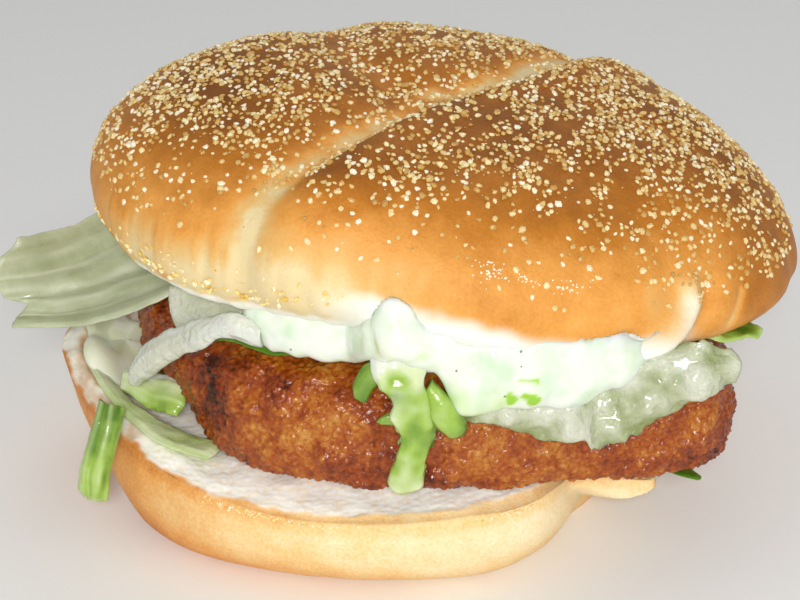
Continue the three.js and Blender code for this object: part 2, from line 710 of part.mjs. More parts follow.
/** How far the sauce stands out past the fish's outline, and its lip's height, at a place. */
function sauceEdge({ x, y }) {
  const last = SAUCE_FRONT.length - 1;
  const after = SAUCE_FRONT.findIndex((row) => row.x > x);
  const next = after < 0 ? last : Math.max(after, 1);
  const [left, right] = [SAUCE_FRONT[next - 1], SAUCE_FRONT[next]];
  const share = smooth(left.x, right.x, x);
  const front = smooth(-18, -30, y);
  const away = lerp(SAUCE.endOut, SAUCE.backOut, smooth(0, 26, y));
  return {
    out: lerp(away, lerp(left.out, right.out, share), front) + 0.7 * relief(x, y, 0, 11, 5),
    lip: lerp(SAUCE.lip, lerp(left.lip, right.lip, share), front) + 0.5 * relief(x, y, 0, 7, 6),
  };
}

/** A point of the sauce's upper and outer side: out past the outline, and down to the lip by drop. */
function sauceOuterPoint(u, edge, out, drop) {
  const point = fishPoint(u, -out, 0);
  const roof = Math.min(crownUnderZ(point.x, point.y) - 2 * GAP, edge.lip + SAUCE.bulge);
  return point.setZ(lerp(roof, edge.lip, drop));
}

/** A point of the sauce's inner side, which rises from the lip at 0 along the fish to its top at 1. */
function sauceInnerPoint(u, edge, rise) {
  const z = lerp(Math.max(edge.lip, FISH.top) + GAP, FISH.top + 2 * GAP, rise);
  const low = Math.min(z, edge.lip + 2.5 * rise);
  const inset = Math.max(fishInset(low) - FISH.crag - GAP, 2.6 - edge.out);
  return fishPoint(u, inset + 1.5 * rise, Math.max(low, edge.lip + GAP));
}

/** The sauce between the fish and the crown, with a thick uneven lip over the front. */
function sauceGeometry() {
  // distance out from the edge, and share of the drop to the lip
  const outer = [[-4, 0], [-1, 0.05], [0.2, 0.4], [-0.5, 0.86], [-2.2, 1]];
  const [centreX, centreY] = FISH.centre;
  const underside = FISH.top + 2 * GAP;
  const places = Array.from({ length: SIDES.sauce }, (_, i) => {
    const u = i / SIDES.sauce;
    return { u, edge: sauceEdge(fishOutline.getPoint(u)) };
  });
  const rings = [[new THREE.Vector3(centreX, centreY, crownCutZ(centreX, centreY) - 2 * GAP)]];
  rings.push(places.map(({ u, edge }) => sauceOuterPoint(u, edge, -SAUCE.body, 0)));
  for (const [out, drop] of outer) {
    rings.push(places.map(({ u, edge }) => sauceOuterPoint(u, edge, edge.out + out, drop)));
  }
  for (const rise of [0.45, 0.8]) rings.push(places.map(({ u, edge }) => sauceInnerPoint(u, edge, rise)));
  rings.push(places.map(({ u }) => fishPoint(u, SAUCE.body, underside)));
  rings.push([new THREE.Vector3(centreX, centreY, underside)]);
  return ringSolid(rings);
}

/** The puddle of sauce that ran onto the heel's left end. */
function puddleGeometry() {
  // share of the way out, and share of the height
  const profile = [[0.5, 0], [0.92, 0], [1, 0.35], [0.86, 0.75], [0.5, 1]];
  const reachAt = (angle) => {
    const round = Math.hypot(Math.cos(angle) / PUDDLE.halfWidth, Math.sin(angle) / PUDDLE.halfDepth);
    return (1 + 0.12 * Math.sin(3 * angle + 1)) / round;
  };
  const at = (angle, share, rise) => {
    const x = PUDDLE.x + share * reachAt(angle) * Math.cos(angle);
    const y = PUDDLE.y + share * reachAt(angle) * Math.sin(angle);
    const lump = 1 + 0.25 * relief(x, y, 0, 9, 7);
    return new THREE.Vector3(x, y, heelTop(x, y) + 2 * GAP + PUDDLE.height * rise * lump);
  };
  const angles = anglesRound(SIDES.puddle);
  const rings = profile.map(([share, rise]) => angles.map((angle) => at(angle, share, rise)));
  return ringSolid([[at(0, 0, 0)], ...rings, [at(0, 0, 1)]]);
}

// ---------------------------------------------------------------- lettuce

/** Reach of a torn end at v, between rows spaced evenly from the near edge to the far one. */
function fringeAt(rows, v) {
  const place = v * (rows.length - 1);
  const row = Math.min(Math.floor(place), rows.length - 2);
  return lerp(rows[row], rows[row + 1], smooth(0, 1, place - row));
}

/** The middle surface of one lettuce piece: u from root to tip, v from near to far edge. */
function leafSurface(leaf) {
  const near = curveThrough(leaf.near);
  const far = curveThrough(leaf.far);
  const lift = new THREE.Vector3(...leaf.lift).normalize();
  const [lengths, widths] = leaf.grid;
  return (u, v) => {
    const point = near.getPoint(u).lerp(far.getPoint(u), v);
    const onward = near.getTangent(u).lerp(far.getTangent(u), v).normalize();
    const round = 4 * v * (1 - v);
    const reach = leaf.fringe ? fringeAt(leaf.fringe, v) : leaf.tip * (round - 0.5);
    const wave = Math.sin(2 * Math.PI * leaf.ripples * (lengths > widths ? u : v));
    point.addScaledVector(onward, reach * smooth(0.6, 1, u));
    point.addScaledVector(lift, leaf.bow * round + leaf.height * wave);
    if (leaf.onHeel) {
      point.z = Math.max(point.z, heelTop(point.x, point.y) + 2 * GAP + leaf.thickness / 2);
    }
    return point;
  };
}

// ---------------------------------------------------------------- the whole sandwich

/** Every piece's geometry by name, each cut clear of those before it. */
function sandwichShapes() {
  const shapes = new Map([
    ['heel', heelGeometry()],
    ['fish', fishGeometry()],
    ['crown', crownGeometry()],
  ]);
  const named = (names) => names.map((name) => shapes.get(name));
  shapes.set('sauce_left', clearOf(puddleGeometry(), named(['heel', 'fish'])));
  for (const leaf of LEAVES) {
    const whole = leafSolid(leafSurface(leaf), leaf.thickness, ...leaf.grid);
    shapes.set(leaf.name, clearOf(whole, named(leaf.clears)));
  }
  const besideSauce = ['crown', 'fish', ...LEAVES.map((leaf) => leaf.name)];
  shapes.set('sauce', clearOf(sauceGeometry(), named(besideSauce), 0.12));
  shapes.set('crown', dustedCrown(shapes.get('crown')));
  return shapes;
}

/** A named mesh with its own material. */
function foodMesh(name, geometry, finish) {
  geometry.computeVertexNormals();
  const mesh = new THREE.Mesh(geometry, new THREE.MeshStandardMaterial({ ...finish, metalness: 0 }));
  mesh.name = name;
  return mesh;
}

const finishOf = { heel: 'heel', fish: 'fish', crown: 'crown', sauce: 'sauce', sauce_left: 'sauce' };
for (const leaf of LEAVES) finishOf[leaf.name] = leaf.finish;

const sandwich = new THREE.Group();
for (const [name, geometry] of sandwichShapes()) {
  sandwich.add(foodMesh(name, geometry, FINISHES[finishOf[name]]));
}

export default sandwich;
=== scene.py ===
"""Fish sandwich: a fried, breaded fillet on a corn-dusted roll, with tartar sauce and lettuce.

Each piece is a surface worked out in millimetres over a grid of two parameters, and its mesh is kept
in metres. The main forms and their sizes are those of the solids, made finer here: wrinkled crust,
torn crumb, fried crumbs, cornmeal, lumpy sauce and crinkled leaves.
"""

import itertools
import logging
import math
from collections.abc import Callable, Sequence
from dataclasses import dataclass
from enum import Enum
from functools import cache
from typing import Any

import bpy
import numpy as np
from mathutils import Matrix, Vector


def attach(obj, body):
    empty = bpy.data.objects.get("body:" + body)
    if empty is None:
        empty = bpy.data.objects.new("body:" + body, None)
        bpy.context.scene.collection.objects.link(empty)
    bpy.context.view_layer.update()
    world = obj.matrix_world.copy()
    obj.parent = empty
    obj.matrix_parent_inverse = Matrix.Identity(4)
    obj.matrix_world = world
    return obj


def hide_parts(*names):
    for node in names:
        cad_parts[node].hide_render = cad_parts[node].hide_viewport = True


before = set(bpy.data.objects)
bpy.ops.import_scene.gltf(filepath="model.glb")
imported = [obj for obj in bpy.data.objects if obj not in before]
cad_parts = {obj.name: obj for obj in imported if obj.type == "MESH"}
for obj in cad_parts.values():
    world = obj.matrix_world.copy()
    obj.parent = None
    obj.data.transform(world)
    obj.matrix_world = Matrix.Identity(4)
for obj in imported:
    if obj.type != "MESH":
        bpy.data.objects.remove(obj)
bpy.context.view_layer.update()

LOG = logging.getLogger("sandwich")
Array = np.ndarray
Pieces = list[bpy.types.Object]
Pairs = tuple[tuple[float, float], ...]
Points = tuple[tuple[float, float, float], ...]
Stops = tuple[tuple[float, str], ...]  # places and hex colours of a colour ramp

MM = 0.001
GOLDEN_ANGLE = math.radians(137.508)
AIR = 0.3  # mm of air that the solids keep between pieces that touch
NUDGE = 0.004  # step along a surface that gives its slope
LAST_GRAIN = 0.985  # share of the way to an edge where grains still lie
LEAF_STEP = 0.3  # mm between points of a leaf
LINE_SAMPLES = 30  # points of a line that are tried for the nearest


class Slot(Enum):
    """The finishes that the part's solids carry."""

    HEEL = "roll_heel"
    CROWN = "roll_crown"
    FISH = "fish_crust"
    SAUCE = "tartar_sauce"
    PALE_LEAF = "lettuce_pale"
    CLEAR_LEAF = "lettuce_clear"
    GREEN_LEAF = "lettuce_green"


# ---- formulas


@dataclass(frozen=True)
class Place:
    """An uneven place round an outline: an amount at an angle in degrees, fading over a width."""

    amount: float
    at: float
    width: float


@dataclass(frozen=True)
class Spot:
    """A round place on a surface where a value is higher or lower."""

    x: float
    y: float
    z: float
    radius: float
    amount: float


@dataclass(frozen=True)
class Line:
    """A smooth line on a surface through a few points, with a width and an amount."""

    points: Points
    width: float
    amount: float


def smooth(low: Array | float, high: Array | float, value: Array | float) -> Array:
    """A smooth step: 0 at low, 1 at high, and level beyond them.

    Args:
        low: The value that gives 0.
        high: The value that gives 1.
        value: Where to read the step.

    Returns:
        The step's height, from 0 to 1.
    """
    t = np.clip((value - low) / (high - low), 0.0, 1.0)
    return t * t * (3 - 2 * t)


def blend(low: Array | float, high: Array | float, share: Array | float) -> Array:
    """The value at a share of the way from low to high."""
    return low + (high - low) * share


def xyz(x: Array | float, y: Array | float, z: Array | float) -> Array:
    """Points from their coordinates, which are spread to one size."""
    return np.stack(np.broadcast_arrays(x, y, z), axis=-1)


def wrapped(angle: Array) -> Array:
    """An angle brought to between minus pi and pi."""
    return np.arctan2(np.sin(angle), np.cos(angle))


def unevenness(angle: Array, places: Sequence[Place]) -> Array:
    """The sum of uneven places at an angle: each fades as exp(-(angle away / width)^2).

    Args:
        angle: Angles in radians.
        places: The uneven places.

    Returns:
        The summed amount at each angle.
    """
    total = np.zeros_like(angle)
    for place in places:
        away = wrapped(angle - math.radians(place.at)) / math.radians(place.width)
        total = total + place.amount * np.exp(-(away**2))
    return total


def spotted(points: Array, spots: Sequence[Spot]) -> Array:
    """The sum of round spots at each point: each fades as exp(-(distance / radius)^2).

    Args:
        points: Points in mm, the last axis being x, y, z.
        spots: The spots.

    Returns:
        The summed amount at each point.
    """
    total = np.zeros(points.shape[:-1])
    for spot in spots:
        away = np.linalg.norm(points - (spot.x, spot.y, spot.z), axis=-1) / spot.radius
        total += spot.amount * np.exp(-(away**2))
    return total


def curve(knots: Sequence | Array, turn: Array, closed: bool = False) -> tuple[Array, Array]:
    """A Catmull-Rom curve: between two knots a cubic whose slope at each is half its neighbours' span.

    Args:
        knots: The points that it passes through, one a row.
        turn: Places on it, from 0 to 1.
        closed: Whether it goes back to its first knot.

    Returns:
        The points, and the unit directions of travel.
    """
    knots = np.asarray(knots, float)
    count = len(knots)
    place = np.asarray(turn, float) * (count if closed else count - 1)
    if closed:
        start = np.floor(place).astype(int)
        rows = [knots[(start + k) % count] for k in (-1, 0, 1, 2)]
    else:
        start = np.clip(np.floor(place).astype(int), 0, count - 2)
        longer = np.concatenate([2 * knots[:1] - knots[1:2], knots, 2 * knots[-1:] - knots[-2:-1]])
        rows = [longer[start + k] for k in range(4)]
    before, a, b, after = rows
    t = (place - start)[..., None]
    slope_a = (b - before) / 2
    slope_b = (after - a) / 2
    square = 3 * (b - a) - 2 * slope_a - slope_b
    cube = 2 * (a - b) + slope_a + slope_b
    way = slope_a + 2 * square * t + 3 * cube * t**2
    return a + slope_a * t + square * t**2 + cube * t**3, unit(way)


def lined(points: Array, lines: Sequence[Line]) -> Array:
    """The sum of lines at each point: each fades as exp(-(distance to it / width)^2).

    Args:
        points: Points in mm, the last axis being x, y, z.
        lines: The lines.

    Returns:
        The summed amount at each point.
    """
    total = np.zeros(points.shape[:-1])
    for line in lines:
        on_line, _ = curve(line.points, np.linspace(0, 1, LINE_SAMPLES))
        away = np.full(points.shape[:-1], np.inf)
        for point in on_line:
            away = np.minimum(away, np.linalg.norm(points - point, axis=-1))
        total += line.amount * np.exp(-((away / line.width) ** 2))
    return total


def unit(vectors: Array) -> Array:
    """Vectors brought to length 1."""
    return vectors / np.maximum(np.linalg.norm(vectors, axis=-1, keepdims=True), 1e-9)


def relief(points: Array, size: float, seed: float) -> Array:
    """Smooth uneven relief from -1 to 1: the mean of five crossed waves about one size long.

    Args:
        points: Points in mm.
        size: Length of the waves in mm.
        seed: Turns and shifts the waves.

    Returns:
        The relief at each point.
    """
    x, y, z = np.moveaxis(points, -1, 0)
    total = np.zeros(points.shape[:-1])
    for k in range(5):
        turn = seed + k * GOLDEN_ANGLE
        tip = 0.9 * math.sin(1.7 * k + seed)
        along = (x * math.cos(turn) + y * math.sin(turn)) * math.cos(tip) + z * math.sin(tip)
        total += np.sin(2 * math.pi * along * (0.75 + 0.16 * k) / size + 2.3 * k + 1.7 * seed)
    return total / 5


def scramble(cells: Array, seed: int) -> Array:
    """A repeatable number from 0 to 1 for each whole-number cell, by mixing its three numbers' bits.

    Args:
        cells: Whole numbers, the last axis being x, y, z.
        seed: Changes the numbers drawn.

    Returns:
        One number for each cell.
    """
    x, y, z = np.moveaxis(cells.astype(np.int64), -1, 0)
    mixed = (x * 73856093) ^ (y * 19349663) ^ (z * 83492791) ^ (seed * 2654435761)
    mixed = ((mixed ^ (mixed >> 13)) * 1274126177) & 0x7FFFFFFF
    mixed = ((mixed ^ (mixed >> 11)) * 1103515245) & 0x7FFFFFFF
    return mixed / 0x7FFFFFFF


def drawn(number: Array) -> Array:
    """A repeatable number from 0 to 1 for each number: the fraction of a large multiple of its sine."""
    large = np.sin(number * 12.9898 + 78.233) * 43758.5453
    return large - np.floor(large)


def noise(points: Array, size: float, seed: int) -> Array:
    """Smooth noise from -1 to 1: a random value at each corner of a cubic lattice, blended between.

    Args:
        points: Points in mm.
        size: The lattice's spacing in mm.
        seed: Changes the noise.

    Returns:
        The noise at each point.
    """
    place = points / size
    cell = np.floor(place)
    part = place - cell
    part = part * part * (3 - 2 * part)
    total = np.zeros(points.shape[:-1])
    for corner in itertools.product((0, 1), repeat=3):
        share = np.prod(np.where(np.array(corner) == 1, part, 1 - part), axis=-1)
        total += share * scramble(cell + corner, seed)
    return 2 * total - 1


def layered(points: Array, size: float, seed: int, layers: int = 3) -> Array:
    """Noise in layers, each half as large and a little over half as strong as the one before."""
    total = sum(0.55**k * noise(points, size / 2**k, seed + k) for k in range(layers))
    return total / sum(0.55**k for k in range(layers))


def pebbles(points: Array, size: float, seed: int) -> Array:
    """Packed rounded bumps: from 0 in the cracks between cells to 1 inside them.

    Each lattice cell holds one random point. The bump rises with how much nearer a place is to its
    nearest such point than to the second nearest.

    Args:
        points: Points in mm.
        size: The bumps' spacing in mm.
        seed: Changes their places.

    Returns:
        The bumps' height at each point, from 0 to 1.
    """
    place = points / size
    cell = np.floor(place)
    nearest = np.full(points.shape[:-1], 9.0)
    second = nearest.copy()
    for step in itertools.product((-1, 0, 1), repeat=3):
        near = cell + step
        spot = near + np.stack([scramble(near, seed + k) for k in range(3)], axis=-1)
        away = np.linalg.norm(place - spot, axis=-1)
        second = np.minimum(second, np.maximum(nearest, away))
        nearest = np.minimum(nearest, away)
    return smooth(0.0, 0.55, second - nearest)


# ---- meshes


def grid_normals(points: Array, closed: bool) -> Array:
    """Unit normals of a grid of points: the cross product of its directions along and up.

    Args:
        points: Rows and columns of points; columns run counterclockwise and rows upward outside.
        closed: Whether the last column meets the first.

    Returns:
        The normal at each point.
    """
    up = np.gradient(points, axis=0)
    if closed:
        along = np.roll(points, -1, axis=1) - np.roll(points, 1, axis=1)
    else:
        along = np.gradient(points, axis=1)
    return unit(np.cross(along, up))


def raised(rings: Array, height: Array) -> Array:
    """Rings of points moved out along their normals by a height at each point."""
    return rings + grid_normals(rings, True) * height[..., None]


def quads(rows: int, columns: int, closed: bool) -> Array:
    """The four-cornered faces of a grid whose points are numbered row by row.

    Args:
        rows: How many rows of points.
        columns: How many points in a row.
        closed: Whether the last column meets the first.

    Returns:
        One face a row, with its corners counterclockwise from outside.
    """
    row, column = np.meshgrid(np.arange(rows - 1), np.arange(columns - (not closed)), indexing="ij")
    after = (column + 1) % columns
    corners = [row * columns + column, row * columns + after]
    corners += [(row + 1) * columns + after, (row + 1) * columns + column]
    return np.stack(corners, axis=-1).reshape(-1, 4)


def closed_solid(rows: Array, low: Array, high: Array) -> tuple[Array, list[Array]]:
    """A stack of rings shut by a fan of triangles to a pole at each end.

    Args:
        rows: Rings of points from the underside to the top.
        low: The pole under the first ring.
        high: The pole over the last ring.

    Returns:
        The points, and the arrays of faces.
    """
    count, sides = rows.shape[:2]
    points = np.concatenate([rows.reshape(-1, 3), [low, high]])
    here = np.arange(sides)
    after = (here + 1) % sides
    last = (count - 1) * sides
    under = np.stack([after, here, np.full(sides, count * sides)], axis=-1)
    over = np.stack([last + here, last + after, np.full(sides, count * sides + 1)], axis=-1)
    return points, [quads(count, sides, True), under, over]


def capped(rows: Array, low: Array, high: Array, steps: int) -> Array:
    """Rings with flat ones added inside the first and the last, so that no fan is wide.

    Args:
        rows: Rings of points.
        low: Centre of the underside.
        high: Centre of the top.
        steps: How many steps each centre is away.

    Returns:
        The longer stack of rings.
    """
    share = (np.arange(1, steps) / steps)[:, None, None]
    return np.concatenate([low + (rows[:1] - low) * share, rows, high + (rows[-1:] - high) * share[::-1]])


def stretched(values: Array, rows: int) -> Array:
    """Values of a grid as one list, repeated from its end rows over the rings added there.

    Args:
        values: One number for each point of the grid.
        rows: How many rings there are in all.

    Returns:
        The values, with one for each pole.
    """
    added = (rows - len(values)) // 2
    longer = np.concatenate([values[:1].repeat(added, 0), values, values[-1:].repeat(added, 0)])
    return np.concatenate([longer.ravel(), [longer[0].mean(), longer[-1].mean()]])


def make_mesh(name: str, points: Array, faces: Sequence[Array], values: dict[str, Array]) -> bpy.types.Mesh:
    """Puts points, faces and named values at the points into a new mesh.

    Args:
        name: The mesh's name.
        points: Points in mm.
        faces: Arrays of faces, each with one number of corners.
        values: For each attribute's name, one number for each point.

    Returns:
        The mesh, in metres.
    """
    mesh = bpy.data.meshes.new(name)
    mesh.vertices.add(len(points))
    mesh.vertices.foreach_set("co", (points * MM).astype(np.float32).ravel())
    corners = np.concatenate([group.ravel() for group in faces])
    sizes = np.concatenate([np.full(len(group), group.shape[1]) for group in faces])
    mesh.loops.add(len(corners))
    mesh.loops.foreach_set("vertex_index", corners.astype(np.int32))
    mesh.polygons.add(len(sizes))
    mesh.polygons.foreach_set("loop_start", (np.cumsum(sizes) - sizes).astype(np.int32))
    mesh.update(calc_edges=True)
    mesh.validate()
    for key, value in values.items():
        layer = mesh.attributes.new(key, "FLOAT", "POINT")
        layer.data.foreach_set("value", value.astype(np.float32).ravel())
    return mesh


def make_piece(
    mesh: bpy.types.Mesh,
    material: bpy.types.Material,
    nodes: Sequence[str] = (),
    faceted: bool = False,
) -> bpy.types.Object:
    """Makes a mesh into a finished piece of the sandwich.

    Args:
        mesh: The piece's mesh, whose name it takes.
        material: What it is made of.
        nodes: The solids that it stands for.
        faceted: Whether its faces stay flat, as on grit.

    Returns:
        The piece.
    """
    mesh.materials.append(material)
    mesh.polygons.foreach_set("use_smooth", np.full(len(mesh.polygons), not faceted))
    piece = bpy.data.objects.new(mesh.name, mesh)
    bpy.context.scene.collection.objects.link(piece)
    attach(piece, "root")
    if nodes:
        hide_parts(*nodes)
    return piece


# ---- finishes


def linear(code: str) -> tuple[float, float, float, float]:
    """A colour for a shader, from its sRGB hex code.

    Args:
        code: Such as "#c08040".

    Returns:
        Linear red, green, blue and 1.
    """
    parts = [int(code[k : k + 2], 16) / 255 for k in (1, 3, 5)]
    light = [c / 12.92 if c <= 0.04045 else ((c + 0.055) / 1.055) ** 2.4 for c in parts]
    return (*light, 1.0)


def per_metre(size: float) -> float:
    """The texture scale that gives a pattern one size in mm, because coordinates are in metres."""
    return 1 / (size * MM)


class Recipe:
    """One material being put together on object coordinates."""

    def __init__(self, name: str) -> None:
        """Starts an empty material.

        Args:
            name: The material's name.
        """
        self.material = bpy.data.materials.new(name)
        self.material.use_nodes = True
        self.tree = self.material.node_tree
        self.tree.nodes.clear()
        self.place = self.add("TexCoord")["Object"]

    def add(
        self,
        kind: str,
        inputs: dict[str | int, Any] | None = None,
        stops: Stops = (),
        **settings: Any,
    ) -> bpy.types.bpy_prop_collection:
        """Adds one shader node with its settings and links.

        Args:
            kind: The node's type after "ShaderNode", such as "Mix".
            inputs: For an input's name or number, its value or the output that feeds it.
            stops: A colour ramp's stops, of which a new ramp already holds two.
            settings: The node's own fields.

        Returns:
            The node's outputs.
        """
        node = self.tree.nodes.new("ShaderNode" + kind)
        for key, value in settings.items():
            setattr(node, key, value)
        for key, value in (inputs or {}).items():
            if isinstance(value, bpy.types.NodeSocket):
                self.tree.links.new(value, node.inputs[key])
            else:
                node.inputs[key].default_value = value
        for number, (place, code) in enumerate(stops):
            elements = node.color_ramp.elements
            stop = elements[number] if number < 2 else elements.new(place)
            stop.position = place
            stop.color = linear(code)
        return node.outputs

    def sized(self, size: float, detail: float) -> dict[str, Any]:
        """Inputs that give a noise texture a size in mm and some finer layers."""
        return {"Vector": self.place, "Scale": per_metre(size), "Detail": detail}

    def varied(self, name: str, layers: Sequence[tuple[float, float, float]]) -> bpy.types.NodeSocket:
        """A value held by the mesh, plus (noise - 0.5) * amount for each layer of noise.

        Args:
            name: The value's name.
            layers: For each layer, its size in mm, its detail and its amount.

        Returns:
            The output that holds the uneven value.
        """
        value = self.add("Attribute", attribute_name=name)["Fac"]
        for size, detail, amount in layers:
            cloud = self.add("TexNoise", self.sized(size, detail))["Fac"]
            middle = self.add("Math", {0: cloud, 1: 0.5}, operation="SUBTRACT")[0]
            value = self.add("Math", {0: middle, 1: amount, 2: value}, operation="MULTIPLY_ADD")[0]
        return value

    def finish(self, relief_height: Any, depth: float, **surface: Any) -> bpy.types.Material:
        """Joins the surface shader to the material's output.

        Args:
            relief_height: The output that holds the fine relief, from 0 to 1.
            depth: The fine relief's depth in mm.
            surface: For each of the shader's inputs, with _ for a space, its value or output.

        Returns:
            The material.
        """
        bump = self.add("Bump", {"Height": relief_height, "Distance": depth * MM, "Strength": 1.0})
        inputs = {key.replace("_", " "): value for key, value in surface.items()}
        shader = self.add("BsdfPrincipled", {"Normal": bump[0], **inputs})
        self.add("OutputMaterial", {"Surface": shader[0]})
        return self.material


@dataclass(frozen=True)
class BakedCrust:
    """Wheat crust, glazed and browned in the oven: satin, with pale folds and a mottled brown top."""

    name: str = "baked_crust"
    colours: Stops = (
        (0.0, "#e9d3a0"), (0.2, "#e6bb74"), (0.4, "#e6a04a"), (0.6, "#c27a26"), (0.8, "#9a5b15"),
        (1.0, "#643408"),
    )
    crumb: str = "#fffdf2"  # torn white crumb under the crust
    # crumb_shade is painted shade in the crumb's pits: the same noise darkens them and sinks the bump.
    crumb_shade: str = "#fdeed0"
    crumb_toast: str = "#c08642"
    smear: str = "#f3f6ea"  # thin sauce wiped on it
    mottle: float = 4.0  # mm, uneven browning
    mottling: float = 0.22  # how much that varies the browning
    pore: float = 0.55  # mm, pores of the crust, a little coarser than real so that they show
    freckles: float = 0.13  # how much the pores vary the browning
    crumb_cell: float = 1.1  # mm
    depth: float = 0.12  # mm, of the pores and the crumb's cells
    roughness: float = 0.5
    crumb_roughness: float = 0.9
    smear_roughness: float = 0.25

    @cache
    def material(self) -> bpy.types.Material:
        """Makes the crust, with torn crumb and sauce where the mesh has them.

        Returns:
            The material.
        """
        recipe = Recipe(self.name)
        layers = ((self.mottle, 3.0, self.mottling), (self.pore, 2.0, self.freckles))
        crust = recipe.add("ValToRGB", {0: recipe.varied("browning", layers)}, self.colours)[0]
        cells = recipe.add("TexNoise", recipe.sized(self.crumb_cell, 3.0))["Fac"]
        # Darker where the cells' noise is low, where the bump sinks too: painted shade in the crumb's pits.
        shades = ((0.3, self.crumb_shade), (0.5, self.crumb))
        crumb = recipe.add("ValToRGB", {0: cells}, shades)[0]
        toast = recipe.add("Attribute", attribute_name="toast")["Fac"]
        crumb = recipe.add("Mix", {0: toast, 6: crumb, 7: linear(self.crumb_toast)}, data_type="RGBA")[2]
        torn = recipe.add("Attribute", attribute_name="torn")["Fac"]
        colour = recipe.add("Mix", {0: torn, 6: crust, 7: crumb}, data_type="RGBA")[2]
        smeared = recipe.add("Attribute", attribute_name="smear")["Fac"]
        colour = recipe.add("Mix", {0: smeared, 6: colour, 7: linear(self.smear)}, data_type="RGBA")[2]

        dry = {0: torn, 2: self.roughness, 3: self.crumb_roughness}
        wet = {0: smeared, 2: recipe.add("Mix", dry, data_type="FLOAT")[0], 3: self.smear_roughness}
        roughness = recipe.add("Mix", wet, data_type="FLOAT")[0]
        pores = recipe.add("TexNoise", recipe.sized(self.pore, 3.0))["Fac"]
        height = recipe.add("Mix", {0: torn, 2: pores, 3: cells}, data_type="FLOAT")[0]
        return recipe.finish(
            height, self.depth, Base_Color=colour, Roughness=roughness, IOR=1.4, Specular_IOR_Level=0.35,
            Subsurface_Weight=0.12, Subsurface_Radius=(1.0, 0.5, 0.25), Subsurface_Scale=1.5 * MM,
        )


@dataclass(frozen=True)
class FriedCrumb:
    """Breadcrumb fried in oil: rough, from golden to burnt reddish brown, with a thin glossy film."""

    name: str = "fried_crumb"
    colours: Stops = (
        (0.0, "#c68a3e"), (0.26, "#b0661d"), (0.42, "#a35114"), (0.62, "#8e3d0e"), (0.84, "#702b0a"),
        (1.0, "#3e1606"),
    )
    patch: float = 2.2  # mm, uneven frying
    patchiness: float = 0.75  # how much that varies the colour
    crumb: float = 0.75  # mm, one crumb
    crumb_contrast: float = 0.9  # how much the crumbs vary the colour
    depth: float = 0.3  # mm, of the crumbs
    roughness: float = 0.05  # where the film of oil is thickest
    dullness: float = 0.3  # how much rougher it is where there is none

    @cache
    def material(self) -> bpy.types.Material:
        """Makes the fried crust.

        Returns:
            The material.
        """
        recipe = Recipe(self.name)
        layers = ((self.patch, 3.0, self.patchiness), (self.crumb, 2.0, self.crumb_contrast))
        colour = recipe.add("ValToRGB", {0: recipe.varied("frying", layers)}, self.colours)[0]
        oil = recipe.add("TexNoise", recipe.sized(self.patch, 3.0))["Fac"]
        film = {0: oil, 1: self.dullness, 2: self.roughness}
        roughness = recipe.add("Math", film, operation="MULTIPLY_ADD")[0]
        height = recipe.add("TexNoise", recipe.sized(1.2 * self.crumb, 2.0))["Fac"]
        return recipe.finish(
            height, self.depth, Base_Color=colour, Roughness=roughness, IOR=1.47, Specular_IOR_Level=0.45,
            Subsurface_Weight=0.06, Subsurface_Radius=(1.0, 0.4, 0.2), Subsurface_Scale=1.0 * MM,
        )


@dataclass(frozen=True)
class TartarSauce:
    """Mayonnaise with herbs: creamy white with a mint tint, wet, with dark flecks of herb."""

    name: str = "cold_sauce"
    white: str = "#ebf0e4"
    tint: str = "#d0e6c6"
    greens: Stops = ((0.1, "#dbe9bf"), (0.5, "#c9e392"), (1.0, "#9bd032"))
    herb: str = "#4d6b3c"
    tint_patch: float = 5.0  # mm, uneven tint
    spacing: float = 2.6  # mm between places for a fleck of herb
    fleck: float = 0.11  # a fleck's radius, as a share of that
    bare: float = 0.72  # share of the places without a fleck
    fleck_strength: float = 0.75
    lumps: float = 1.5  # mm
    depth: float = 0.08  # mm, of the lumps

    @cache
    def material(self) -> bpy.types.Material:
        """Makes the sauce, with green smears and painted mint shade where the mesh has them.

        Returns:
            The material.
        """
        recipe = Recipe(self.name)
        patches = recipe.add("TexNoise", recipe.sized(self.tint_patch, 2.0))["Fac"]
        cream = recipe.add("ValToRGB", {0: patches}, ((0.42, self.white), (0.72, self.tint)))[0]
        green = recipe.add("Attribute", attribute_name="green")["Fac"]
        smears = recipe.add("ValToRGB", {0: green}, self.greens)[0]
        cream = recipe.add("Mix", {0: green, 6: cream, 7: smears}, data_type="RGBA")[2]

        cells = recipe.add("TexVoronoi", {"Vector": recipe.place, "Scale": per_metre(self.spacing)})
        near = recipe.add("Math", {0: cells["Distance"], 1: self.fleck}, operation="LESS_THAN")[0]
        chance = recipe.add("SeparateColor", {0: cells["Color"]})[0]
        chosen = recipe.add("Math", {0: chance, 1: self.bare}, operation="GREATER_THAN")[0]
        fleck = recipe.add("Math", {0: near, 1: chosen}, operation="MULTIPLY")[0]
        share = recipe.add("Math", {0: fleck, 1: self.fleck_strength}, operation="MULTIPLY")[0]
        colour = recipe.add("Mix", {0: share, 6: cream, 7: linear(self.herb)}, data_type="RGBA")[2]
        height = recipe.add("TexNoise", recipe.sized(self.lumps, 2.0))["Fac"]
        return recipe.finish(
            height, self.depth, Base_Color=colour, Roughness=0.24, IOR=1.46,
            Subsurface_Weight=0.5, Subsurface_Radius=(1.0, 0.9, 0.6), Subsurface_Scale=2.5 * MM,
            Coat_Weight=0.3, Coat_Roughness=0.1,
        )


